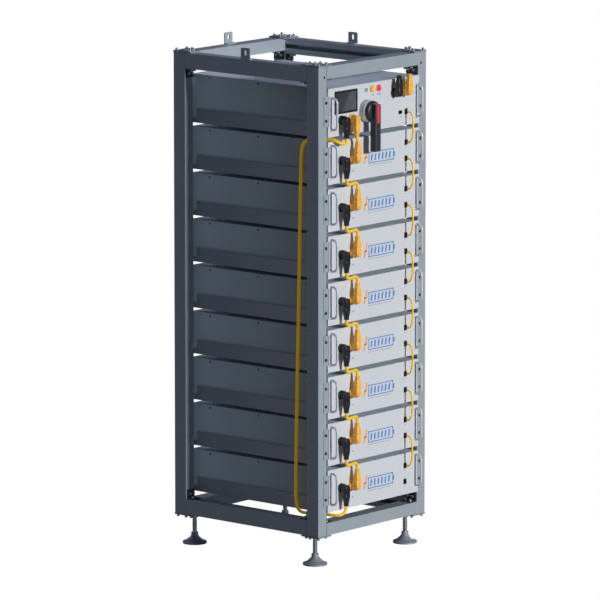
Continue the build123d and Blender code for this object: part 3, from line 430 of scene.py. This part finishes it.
@dataclass
class Stage:
    """The camera, lights, world and floor."""

    eye: Point = (-14.77803, -12.65296, 4.13028)
    azimuth: float = -49.4314
    elevation: float = 9.7269
    lens: float = 368.695

    def build(self) -> None:
        """Set up everything that the pack is seen by."""
        self._camera()
        self._world()
        self._lights()
        self._floor()
        bpy.context.scene.view_settings.view_transform = "Standard"

    def _camera(self) -> None:
        """Place the camera."""
        data = bpy.data.cameras.new("camera")
        data.lens = self.lens
        data.sensor_width = 36.0
        data.clip_start, data.clip_end = 0.5, 200.0
        camera = bpy.data.objects.new("camera", data)
        camera.location = self.eye
        camera.rotation_euler = (math.radians(90 - self.elevation), 0, math.radians(self.azimuth))
        bpy.context.scene.collection.objects.link(camera)
        bpy.context.scene.camera = camera

    def _world(self) -> None:
        """Surround the pack with a white room that lights it only softly."""
        world = bpy.data.worlds.new("studio")
        bpy.context.scene.world = world
        world.use_nodes = True
        tree = world.node_tree
        soft = tree.nodes["Background"]
        soft.inputs["Color"].default_value = (0.60, 0.645, 1.0, 1.0)
        soft.inputs["Strength"].default_value = 0.092
        white = tree.nodes.new("ShaderNodeBackground")
        white.inputs["Color"].default_value = (1, 1, 1, 1)
        path = tree.nodes.new("ShaderNodeLightPath")
        mix = tree.nodes.new("ShaderNodeMixShader")
        tree.links.new(path.outputs["Is Camera Ray"], mix.inputs["Fac"])
        tree.links.new(soft.outputs["Background"], mix.inputs[1])
        tree.links.new(white.outputs["Background"], mix.inputs[2])
        tree.links.new(mix.outputs["Shader"], tree.nodes["World Output"].inputs["Surface"])

    def _lights(self) -> None:
        """Add a low key light in front and weak fills on the right and behind."""
        for name, strength, spread, heading, height in (("key", 2.6, 4.0, 0.0, 13.0), ("right_fill", 0.7, 20.0, 98.0, 14.0), ("rear_fill", 0.8, 25.0, 182.0, 14.0)):
            data = bpy.data.lights.new(name, "SUN")
            data.energy = strength
            data.angle = math.radians(spread)
            lamp = bpy.data.objects.new(name, data)
            lamp.rotation_euler = (math.radians(90 - height), 0, math.radians(heading))
            bpy.context.scene.collection.objects.link(lamp)

    def _floor(self) -> None:
        """Lay the pale floor."""
        shape = bmesh.new()
        bmesh.ops.create_grid(shape, x_segments=1, y_segments=1, size=40.0)
        mesh = bpy.data.meshes.new("floor")
        shape.to_mesh(mesh)
        shape.free()
        floor = bpy.data.objects.new("floor", mesh)
        floor.location = (0, 0, -0.0005)
        bpy.context.scene.collection.objects.link(floor)
        paint = bpy.data.materials.new("floor_white")
        paint.use_nodes = True
        tree = paint.node_tree
        matt = tree.nodes["Principled BSDF"]
        matt.inputs["Base Color"].default_value = (0.25, 0.26, 0.28, 1)
        matt.inputs["Roughness"].default_value = 0.9
        white = tree.nodes.new("ShaderNodeEmission")
        path = tree.nodes.new("ShaderNodeLightPath")
        mix = tree.nodes.new("ShaderNodeMixShader")
        tree.links.new(path.outputs["Is Camera Ray"], mix.inputs["Fac"])
        tree.links.new(matt.outputs["BSDF"], mix.inputs[1])
        tree.links.new(white.outputs["Emission"], mix.inputs[2])
        tree.links.new(mix.outputs["Shader"], tree.nodes["Material Output"].inputs["Surface"])
        mesh.materials.append(paint)


@dataclass
class Cables:
    """The yellow power and communication leads."""

    power_diameter: float = 0.010
    comm_diameter: float = 0.006
    jumper_points: tuple[Point, ...] = (
        (-0.1620, -0.3325, 0.0155),
        (-0.1620, -0.3325, 0.0030),
        (-0.1540, -0.3336, -0.0056),
        (-0.1352, -0.3342, -0.0032),
        (-0.1160, -0.3336, -0.0012),
        (-0.1080, -0.3325, -0.0100),
        (-0.1080, -0.3325, -0.0235),
    )
    short_points: tuple[Point, ...] = (
        (-0.1135, -0.3325, -0.0065),
        (-0.1135, -0.3325, -0.0110),
        (-0.1080, -0.3325, -0.0180),
        (-0.1080, -0.3325, -0.0235),
    )
    return_points: tuple[Point, ...] = (
        (-0.1620, -0.3325, 1.3685),
        (-0.1620, -0.3325, 1.3590),
        (-0.1700, -0.3340, 1.3520),
        (-0.1840, -0.3310, 1.3530),
        (-0.1960, -0.3220, 1.3620),
        (-0.2030, -0.3060, 1.3664),
        (-0.2065, -0.2840, 1.3662),
        (-0.2090, -0.2620, 1.3662),
        (-0.2160, -0.2440, 1.3660),
        (-0.2290, -0.2310, 1.3635),
        (-0.2365, -0.2190, 1.3520),
        (-0.2376, -0.2105, 1.3320),
        (-0.2374, -0.2080, 1.3000),
        (-0.2372, -0.2065, 1.2400),
        (-0.2370, -0.2040, 1.1250),
        (-0.2368, -0.2012, 0.9900),
        (-0.2366, -0.1980, 0.8450),
        (-0.2366, -0.1946, 0.7000),
        (-0.2368, -0.1914, 0.5600),
        (-0.2370, -0.1887, 0.4250),
        (-0.2372, -0.1868, 0.3100),
        (-0.2374, -0.1860, 0.2300),
        (-0.2374, -0.1875, 0.1960),
        (-0.2368, -0.1940, 0.1740),
        (-0.2346, -0.2070, 0.1650),
        (-0.2290, -0.2240, 0.1636),
        (-0.2180, -0.2410, 0.1638),
        (-0.2085, -0.2600, 0.1642),
        (-0.2050, -0.2840, 0.1636),
        (-0.2030, -0.3080, 0.1634),
        (-0.1940, -0.3260, 0.1636),
        (-0.1780, -0.3330, 0.1660),
        (-0.1620, -0.3325, 0.1770),
        (-0.1620, -0.3325, 0.1905),
    )
    comm_profile: tuple[tuple[float, float], ...] = (
        (0.0, 0.0),
        (0.009, 0.0),
        (0.0175, 0.08),
        (0.0215, 0.24),
        (0.0225, 0.48),
        (0.021, 0.73),
        (0.016, 0.91),
        (0.008, 1.0),
        (0.0, 1.0),
    )

    def build(self) -> None:
        """Run every lead."""
        jumpers = []
        for number, base in enumerate(BATTERY_BASES[:-1], start=1):
            points = [(x, y, base + z) for x, y, z in self.jumper_points]
            lead = self._lead(f"power_jumper_{number}", points, self.power_diameter)
            jumpers.append(lead)
        points = [(x, y, CONTROL_BASE + z) for x, y, z in self.short_points]
        self._lead("power_link", points, self.power_diameter)
        for lead in jumpers:
            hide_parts("power_jumpers")
        back = self._lead("return_lead", list(self.return_points), self.power_diameter)
        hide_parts("return_cable")
        starts = [(CONTROL_BASE + 0.0435, 0.099)] + [(base + 0.0425, 0.098) for base in BATTERY_BASES[:-1]]
        for number, (start, drop) in enumerate(starts, start=1):
            points = [(PORT_X, CABLE_EXIT - out, start - share * drop) for out, share in self.comm_profile]
            lead = self._lead(f"comm_lead_{number}", points, self.comm_diameter)
            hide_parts("comm_jumpers")

    def _lead(self, name: str, points: list[Point], diameter: float) -> bpy.types.Object:
        """Make one lead along a smooth line.

        Args:
            name: The lead's name.
            points: The line's control points.
            diameter: The lead's thickness.

        Returns:
            The lead.
        """
        curve = bpy.data.curves.new(name, "CURVE")
        curve.dimensions = "3D"
        line = curve.splines.new("NURBS")
        line.points.add(len(points) - 1)
        for knot, point in zip(line.points, points):
            knot.co = (*point, 1.0)
        line.order_u = 3
        line.use_endpoint_u = True
        line.resolution_u = 8
        curve.bevel_depth = diameter / 2
        curve.bevel_resolution = 4
        curve.use_fill_caps = True
        curve.materials.append(CABLE_JACKET.material())
        lead = bpy.data.objects.new(name, curve)
        bpy.context.scene.collection.objects.link(lead)
        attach(lead, RACK)
        return lead


@dataclass
class PowerPlugs:
    """The right-angle power plugs, black and amber."""

    ring_start: float = -0.3150
    body_start: float = -0.3240
    thickness: float = 0.0170
    corner: float = 0.0032
    sections: tuple[tuple[float, float, float], ...] = (
        (-0.0110, 0.0090, 0.0100),
        (-0.0104, 0.0125, 0.0130),
        (-0.0085, 0.0165, 0.0155),
        (-0.0050, 0.0205, 0.0168),
        (-0.0005, 0.0220, 0.0170),
        (0.0190, 0.0220, 0.0170),
        (0.0196, 0.0212, 0.0162),
        (0.0206, 0.0212, 0.0162),
        (0.0212, 0.0220, 0.0170),
        (0.0270, 0.0218, 0.0170),
        (0.0340, 0.0200, 0.0162),
        (0.0420, 0.0160, 0.0145),
        (0.0460, 0.0142, 0.0135),
        (0.0466, 0.0128, 0.0122),
        (0.0480, 0.0128, 0.0122),
        (0.0486, 0.0138, 0.0132),
        (0.0505, 0.0136, 0.0130),
        (0.0511, 0.0122, 0.0120),
        (0.0525, 0.0122, 0.0120),
        (0.0531, 0.0130, 0.0128),
        (0.0565, 0.0124, 0.0124),
    )

    def build(self) -> None:
        """Make every plug."""
        black = [(BLACK_X, base + 0.072, -1) for base in BATTERY_BASES]
        black += [(BLACK_X, CONTROL_BASE + 0.050, -1), (0.096, CONTROL_BASE + 0.1105, 1)]
        amber = [(ORANGE_X, base + 0.070, 1) for base in BATTERY_BASES]
        amber += [(CONTROL_ORANGE_X, CONTROL_BASE + 0.050, -1), (0.146, CONTROL_BASE + 0.1105, 1)]
        for colour, slot, places, finish in (
            ("black", "black_plastic", black, BLACK_PLASTIC),
            ("orange", "orange_plastic", amber, ORANGE_PLASTIC),
        ):
            for number, (x, z, way) in enumerate(places, start=1):
                plug = add_piece(f"plug_{colour}_{number}", self._plug(x, z, way), finish)
                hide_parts(f"plugs_{colour}")

    def _plug(self, x: float, z: float, way: int) -> bmesh.types.BMesh:
        """Shape one plug.

        Args:
            x: Its place along the panel.
            z: The height of its socket's axis.
            way: 1 where its lead leaves upwards, -1 downwards.

        Returns:
            The shape.
        """
        shape = bmesh.new()
        self._body(shape)
        middle = -self.thickness / 2
        disc(shape, (0, middle + 0.0004, 0), 0.0082, 0.0014, 0.0006)
        disc(shape, (0, middle - 0.0008, 0), 0.0050, 0.0012, 0.0004, 6)
        disc(shape, (0, middle + self.thickness + 0.0088, 0), 0.0105, 0.0092, 0.0008)
        for step in range(5):
            height = 0.0065 + step * 0.0026
            rounded_box(shape, (-0.0070, middle - 0.0005, height), (0.0070, middle + 0.0010, height + 0.0012), 0.0003)
        rounded_box(shape, (-0.0042, -middle - 0.004, -0.0138), (0.0042, -middle + 0.0045, -0.0075), 0.0012)
        place = Matrix.Translation((x, self.body_start + middle, z))
        if way < 0:
            place = place @ Matrix.Rotation(math.pi, 4, "Y")
        bmesh.ops.transform(shape, matrix=place, verts=shape.verts)
        return shape

    def _body(self, shape: bmesh.types.BMesh) -> None:
        """Add the body and its ribbed neck, built up section by section.

        Args:
            shape: The shape that they join.
        """
        first, width, depth = self.sections[0]
        made = bmesh.ops.create_circle(shape, cap_ends=True, segments=4, radius=math.sqrt(0.5), matrix=Matrix.Rotation(math.radians(45), 4, "Z"))
        bmesh.ops.bevel(shape, geom=made["verts"], offset=self.corner / self.sections[4][1], segments=4, profile=0.5, affect="VERTICES", material=-1)
        faces = list(shape.faces)
        bmesh.ops.scale(shape, verts=shape.verts, vec=(width, depth, 1.0))
        bmesh.ops.translate(shape, verts=shape.verts, vec=(0, 0, first))
        for height, wide, deep in self.sections[1:]:
            out = bmesh.ops.extrude_face_region(shape, geom=faces)
            ring = [part for part in out["geom"] if isinstance(part, bmesh.types.BMVert)]
            bmesh.ops.delete(shape, geom=[face for face in faces if face.is_valid and first != self.sections[0][0]], context="FACES_ONLY")
            bmesh.ops.translate(shape, verts=ring, vec=(0, 0, height - first))
            flatten = Matrix.Translation((0, 0, height))
            bmesh.ops.scale(shape, verts=ring, vec=(wide / width, deep / depth, 1.0), space=flatten.inverted())
            faces = [part for part in out["geom"] if isinstance(part, bmesh.types.BMFace)]
            first, width, depth = height, wide, deep


@dataclass
class ModuleMarks:
    """The printed battery gauge, charge mark and port marks of each module."""

    lift: float = 0.0004

    def build(self) -> None:
        """Print every module's marks."""
        for number, base in enumerate(BATTERY_BASES, start=1):
            add_piece(f"gauge_mark_{number}", self._gauge(base), BLUE_INK)
            add_piece(f"charge_mark_{number}", self._bolt(base), AMBER_INK)
            add_piece(f"fine_marks_{number}", self._fine(base), GREY_INK)

    def _bar(self, shape: bmesh.types.BMesh, x: float, z: float, wide: float, high: float, lean: float = 0.0) -> None:
        """Add one printed bar.

        Args:
            shape: The shape that it joins.
            x: Its left edge.
            z: Its lower edge.
            wide: Its width.
            high: Its height.
            lean: How far its top leans to the right.
        """
        corners = rounded_box(shape, (x, PANEL_FRONT - self.lift, z), (x + wide, PANEL_FRONT + 0.0002, z + high), 0.0)
        top = [vert for vert in corners if vert.is_valid and vert.co.z > z + high / 2]
        bmesh.ops.translate(shape, verts=top, vec=(lean, 0, 0))

    def _gauge(self, base: float) -> bmesh.types.BMesh:
        """Shape the gauge: a battery's outline with its charge bars."""
        shape = bmesh.new()
        left, low, wide, high, line = -0.026, base + 0.046, 0.124, 0.037, 0.0032
        self._bar(shape, left, low, wide, line)
        self._bar(shape, left, low + high - line, wide, line)
        self._bar(shape, left, low, line, high)
        self._bar(shape, left + wide - line, low, line, high)
        self._bar(shape, left + wide, low + high * 0.3, 0.006, high * 0.4)
        for step in range(6):
            self._bar(shape, left + 0.010 + step * 0.0178, low + 0.008, 0.0075, high - 0.016, 0.003)
        return shape

    def _bolt(self, base: float) -> bmesh.types.BMesh:
        """Shape the charge mark beside the gauge: a leaning bolt of thick strokes."""
        shape = bmesh.new()
        self._bar(shape, -0.0505, base + 0.0470, 0.0062, 0.0200, 0.005)
        self._bar(shape, -0.0480, base + 0.0640, 0.0150, 0.0055, 0.001)
        self._bar(shape, -0.0415, base + 0.0680, 0.0062, 0.0240, 0.005)
        return shape

    def _fine(self, base: float) -> bmesh.types.BMesh:
        """Shape the small grey marks under the gauge and the ports."""
        shape = bmesh.new()
        for step in range(11):
            self._bar(shape, -0.026 + step * 0.0105, base + 0.0385, 0.0072, 0.0018)
        self._bar(shape, -0.1060, base + 0.0300, 0.0018, 0.0030)
        self._bar(shape, -0.1035, base + 0.0285, 0.0042, 0.0060, 0.001)
        for height in (0.0785, 0.0265):
            self._bar(shape, PORT_X - 0.005, base + height, 0.010, 0.0014)
        return shape


@dataclass
class ControlFace:
    """What the control box's front carries: display, switch, lamps and marks."""

    switch_x: float = -0.0385
    switch_z: float = 1.442
    grip_front: float = -0.3589
    lamps: tuple[float, float] = (-0.009, 0.022)
    lamp_z: float = 1.508

    def build(self) -> None:
        """Make every fitting's detail."""
        screen = add_piece("display_window", self._window(), BEZEL_BLACK)
        screen.data.materials.clear()
        screen.data.materials.append(self._screen_material())
        add_piece("display_reading", self._reading(), Finish("display_ink", srgb(96, 106, 116), 0.3))
        stripe = add_piece("switch_stripe", self._stripe(), RED_INLAY, "switch_handle")
        add_piece("switch_grip_rim_highlight", self._rim(), SWITCH_EDGE_HIGHLIGHT, "switch_handle")
        crown = add_piece("switch_grip_crown", self._crown(), BLACK_GLOSS, "switch_handle")
        add_piece("switch_scale", self._scale(), DARK_INK)
        add_piece("switch_plate_rim", self._plate_rim(), SWITCH_GREY)
        add_piece("lamp_collars", self._collars(), GREY_PLASTIC)
        add_piece("lamp_marks", self._lamp_marks(), DARK_INK)
        add_piece("button_ring", self._button_ring(), PALE_LED, "power_button")

    def _window(self) -> bmesh.types.BMesh:
        """Shape the display's window."""
        shape = bmesh.new()
        rounded_box(shape, (-0.1879, -0.3112, 1.4507), (-0.0901, -0.3100, 1.5115), 0.0004)
        return shape

    def _screen_material(self) -> bpy.types.Material:
        """Build the dark window with a painted reflection: a lighter diagonal band across it."""
        made = bpy.data.materials.new("display_window_glass")
        made.use_nodes = True
        tree = made.node_tree
        shader = tree.nodes["Principled BSDF"]
        shader.inputs["Roughness"].default_value = 0.18
        shader.inputs["Coat Weight"].default_value = 0.5
        place = tree.nodes.new("ShaderNodeTexCoord").outputs["Object"]
        turn = tree.nodes.new("ShaderNodeMapping")
        turn.inputs["Location"].default_value = (0.139, 0.0, -1.481)
        tree.links.new(place, turn.inputs["Vector"])
        aim = tree.nodes.new("ShaderNodeVectorMath")
        aim.operation = "DOT_PRODUCT"
        aim.inputs[1].default_value = (0.55, 0.0, -0.35)
        tree.links.new(turn.outputs["Vector"], aim.inputs[0])
        painted_reflection_ramp = tree.nodes.new("ShaderNodeMapRange")
        painted_reflection_ramp.inputs["From Min"].default_value = -0.004
        painted_reflection_ramp.inputs["From Max"].default_value = 0.006
        tree.links.new(aim.outputs["Value"], painted_reflection_ramp.inputs["Value"])
        cloud = tree.nodes.new("ShaderNodeTexNoise")
        cloud.inputs["Scale"].default_value = 30.0
        tree.links.new(place, cloud.inputs["Vector"])
        deep = tree.nodes.new("ShaderNodeMix")
        deep.data_type = "RGBA"
        deep.inputs["A"].default_value = (*srgb(57, 60, 66), 1)
        deep.inputs["B"].default_value = (*srgb(65, 69, 75), 1)
        tree.links.new(cloud.outputs["Fac"], deep.inputs["Factor"])
        # Painted reflection: a lighter diagonal band laid across the dark window.
        painted_reflection_band = tree.nodes.new("ShaderNodeMix")
        painted_reflection_band.data_type = "RGBA"
        painted_reflection_band.inputs["B"].default_value = (*srgb(86, 90, 97), 1)
        tree.links.new(painted_reflection_ramp.outputs["Result"], painted_reflection_band.inputs["Factor"])
        tree.links.new(deep.outputs["Result"], painted_reflection_band.inputs["A"])
        tree.links.new(painted_reflection_band.outputs["Result"], shader.inputs["Base Color"])
        return made

    def _reading(self) -> bmesh.types.BMesh:
        """Shape the plain symbols on the display: four rising bars."""
        shape = bmesh.new()
        for step in range(4):
            rounded_box(shape, (-0.1150 + step * 0.0042, -0.3114, 1.4590), (-0.1120 + step * 0.0042, -0.3111, 1.4625 + step * 0.0022), 0.0)
        return shape

    def _crown(self) -> bmesh.types.BMesh:
        """Shape the sloping top of the grip, from the hub's face down to the grip's front."""
        shape = bmesh.new()
        x, top, front = self.switch_x, self.switch_z + 0.0195, self.grip_front
        verts = rounded_box(shape, (x - 0.0134, front + 0.0006, top - 0.004), (x + 0.0134, front + 0.0185, top + 0.0075), 0.0)
        lowered = [vert for vert in verts if vert.co.z > top and vert.co.y < front + 0.01]
        bmesh.ops.translate(shape, verts=lowered, vec=(0, 0, -0.0058))
        edges = list({edge for vert in verts for edge in vert.link_edges})
        bmesh.ops.bevel(shape, geom=edges, offset=0.0014, segments=2, profile=0.5, affect="EDGES", material=-1)
        return shape

    def _stripe(self) -> bmesh.types.BMesh:
        """Shape the red inlay that runs over the grip's top and down its front."""
        shape = bmesh.new()
        x, top, front = self.switch_x, self.switch_z + 0.0195, self.grip_front
        rounded_box(shape, (x - 0.0055, front - 0.0007, top - 0.056), (x + 0.0055, front + 0.0015, top + 0.0014), 0.0004)
        slope = math.atan2(0.0058, 0.0179)
        place = Matrix.Translation((x, front + 0.0095, top + 0.0046)) @ Matrix.Rotation(slope, 4, "X")
        made = bmesh.ops.create_cube(shape, size=1.0, matrix=place @ Matrix.Diagonal((0.011, 0.0192, 0.0016, 1.0)))
        edges = list({edge for vert in made["verts"] for edge in vert.link_edges})
        bmesh.ops.bevel(shape, geom=edges, offset=0.0004, segments=2, profile=0.5, affect="EDGES", material=-1)
        return shape

    def _rim(self) -> bmesh.types.BMesh:
        """Shape the raised edge round the grip's front; its lighter grey is a painted highlight along the edge."""
        shape = bmesh.new()
        x, top, low, front = self.switch_x, self.switch_z + 0.0205, self.switch_z - 0.1245, self.grip_front
        for side in (-1, 1):
            middle = x + side * 0.0098
            rounded_box(shape, (middle - 0.0008, front - 0.0007, low), (middle + 0.0008, front + 0.0010, top), 0.0004)
        rounded_box(shape, (x - 0.0100, front - 0.0007, low - 0.0002), (x + 0.0100, front + 0.0010, low + 0.0014), 0.0004)
        return shape

    def _scale(self) -> bmesh.types.BMesh:
        """Shape the position marks round the switch's plate."""
        shape = bmesh.new()
        for angle in (-90, 0):
            turn = Matrix.Translation((self.switch_x, PANEL_FRONT, self.switch_z)) @ Matrix.Rotation(math.radians(-angle), 4, "Y")
            bmesh.ops.create_cube(shape, size=1.0, matrix=turn @ Matrix.Translation((0.0405, -0.0001, 0)) @ Matrix.Diagonal((0.006, 0.0006, 0.0018, 1)))
        return shape

    def _plate_rim(self) -> bmesh.types.BMesh:
        """Shape the raised ring on the front of the switch's plate."""
        shape = bmesh.new()
        start = bmesh.ops.create_circle(shape, cap_ends=True, segments=12, radius=0.0009, matrix=Matrix.Translation((self.switch_x + 0.0336, -0.3299, self.switch_z)))
        faces = list({face for vert in start["verts"] for face in vert.link_faces})
        bmesh.ops.spin(shape, geom=faces + list(start["verts"]), cent=(self.switch_x, -0.33, self.switch_z), axis=(0, 1, 0), angle=math.tau, steps=64, use_merge=True)
        return shape

    def _collars(self) -> bmesh.types.BMesh:
        """Shape the collars under the two lamps."""
        shape = bmesh.new()
        for x in self.lamps:
            disc(shape, (x, PANEL_FRONT, self.lamp_z), 0.0112, 0.0016, 0.0005, 40)
        return shape

    def _lamp_marks(self) -> bmesh.types.BMesh:
        """Shape the short marks under the lamps and the ports, and the plus and minus marks by the output plugs."""
        shape = bmesh.new()
        for x, wide, count in ((-0.012, 0.004, 2), (0.016, 0.0045, 3)):
            for step in range(count):
                left = x + step * (wide + 0.0012)
                rounded_box(shape, (left, PANEL_FRONT - 0.0004, self.lamp_z - 0.021), (left + wide, PANEL_FRONT + 0.0002, self.lamp_z - 0.0182), 0.0)
        for x in (0.096, 0.146):
            rounded_box(shape, (x - 0.005, PANEL_FRONT - 0.0004, CONTROL_BASE + 0.0915), (x + 0.005, PANEL_FRONT + 0.0002, CONTROL_BASE + 0.0930), 0.0)
        rounded_box(shape, (0.14525, PANEL_FRONT - 0.0004, CONTROL_BASE + 0.0873), (0.14675, PANEL_FRONT + 0.0002, CONTROL_BASE + 0.0972), 0.0)
        rounded_box(shape, (0.1265, PANEL_FRONT - 0.0004, CONTROL_BASE + 0.0285), (0.1325, PANEL_FRONT + 0.0002, CONTROL_BASE + 0.0300), 0.0)
        return shape

    def _button_ring(self) -> bmesh.types.BMesh:
        """Shape the lit ring on the power button's face."""
        shape = bmesh.new()
        start = bmesh.ops.create_circle(shape, cap_ends=True, segments=8, radius=0.0004, matrix=Matrix.Translation((-0.04 + 0.0042, -0.3131, 1.508)))
        faces = list({face for vert in start["verts"] for face in vert.link_faces})
        bmesh.ops.spin(shape, geom=faces + list(start["verts"]), cent=(-0.04, -0.3131, 1.508), axis=(0, 1, 0), angle=math.tau, steps=40, use_merge=True)
        return shape


@dataclass
class SpareHoles:
    """The insides of the two spare holes at the top of the front posts, lined with near-black painted shade."""

    across: tuple[float, float] = (-0.238, 0.238)
    height: float = 1.566
    radius: float = 0.00396
    front: float = -0.3049
    depth: float = 0.009

    def build(self) -> None:
        """Line both holes with the painted shade, facing inwards."""
        shape = bmesh.new()
        for x in self.across:
            place = Matrix.Translation((x, self.front + self.depth / 2, self.height)) @ Matrix.Rotation(math.radians(90), 4, "X")
            bmesh.ops.create_cone(shape, cap_ends=False, segments=32, radius1=self.radius, radius2=self.radius, depth=self.depth, matrix=place)
        bmesh.ops.reverse_faces(shape, faces=shape.faces)
        add_piece("spare_hole_painted_shade", shape, BORE_PAINTED_SHADE)


@dataclass
class LevellingFeet:
    """The threads of the four levelling studs."""

    inset_x: float = 0.224
    inset_y: float = 0.2555
    pitch: float = 0.002
    core: float = 0.0069
    crest: float = 0.0076
    low: float = 0.037
    turns: int = 17
    corners: dict[str, tuple[int, int]] = field(
        default_factory=lambda: {"front_left": (-1, -1), "front_right": (1, -1), "rear_left": (-1, 1), "rear_right": (1, 1)}
    )

    def build(self) -> None:
        """Cut every stud's thread."""
        for name, (side, end) in self.corners.items():
            x, y = side * self.inset_x, end * self.inset_y
            thread = add_piece(f"foot_{name}_thread", self._thread(x, y), BRIGHT_STEEL, f"foot_{name}")

    def _thread(self, x: float, y: float) -> bmesh.types.BMesh:
        """Shape one thread as a ridge wound round the stud.

        Args:
            x: The stud's place.
            y: The stud's place.

        Returns:
            The shape.
        """
        shape = bmesh.new()
        made = bmesh.ops.create_circle(shape, cap_ends=True, segments=3, radius=0.0008, matrix=Matrix.Translation((x + self.core, y, self.low)) @ Matrix.Rotation(math.radians(90), 4, "X") @ Matrix.Rotation(math.radians(-90), 4, "Z"))
        faces = list({face for vert in made["verts"] for face in vert.link_faces})
        steps = 10
        bmesh.ops.spin(
            shape,
            geom=faces,
            cent=(x, y, self.low),
            axis=(0, 0, 1),
            dvec=(0, 0, self.pitch / steps),
            angle=math.tau * self.turns,
            steps=steps * self.turns,
            use_duplicate=False,
        )
        return shape


def main() -> None:
    """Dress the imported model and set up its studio."""
    logging.basicConfig(level=logging.INFO)
    for leftover in list(bpy.data.objects):
        bpy.data.objects.remove(leftover)
    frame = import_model()
    Stage().build()
    Cables().build()
    dress_nodes(frame["nodes"])
    PowerPlugs().build()
    ModuleMarks().build()
    ControlFace().build()
    SpareHoles().build()
    LevellingFeet().build()


if __name__ == "__main__":
    main()
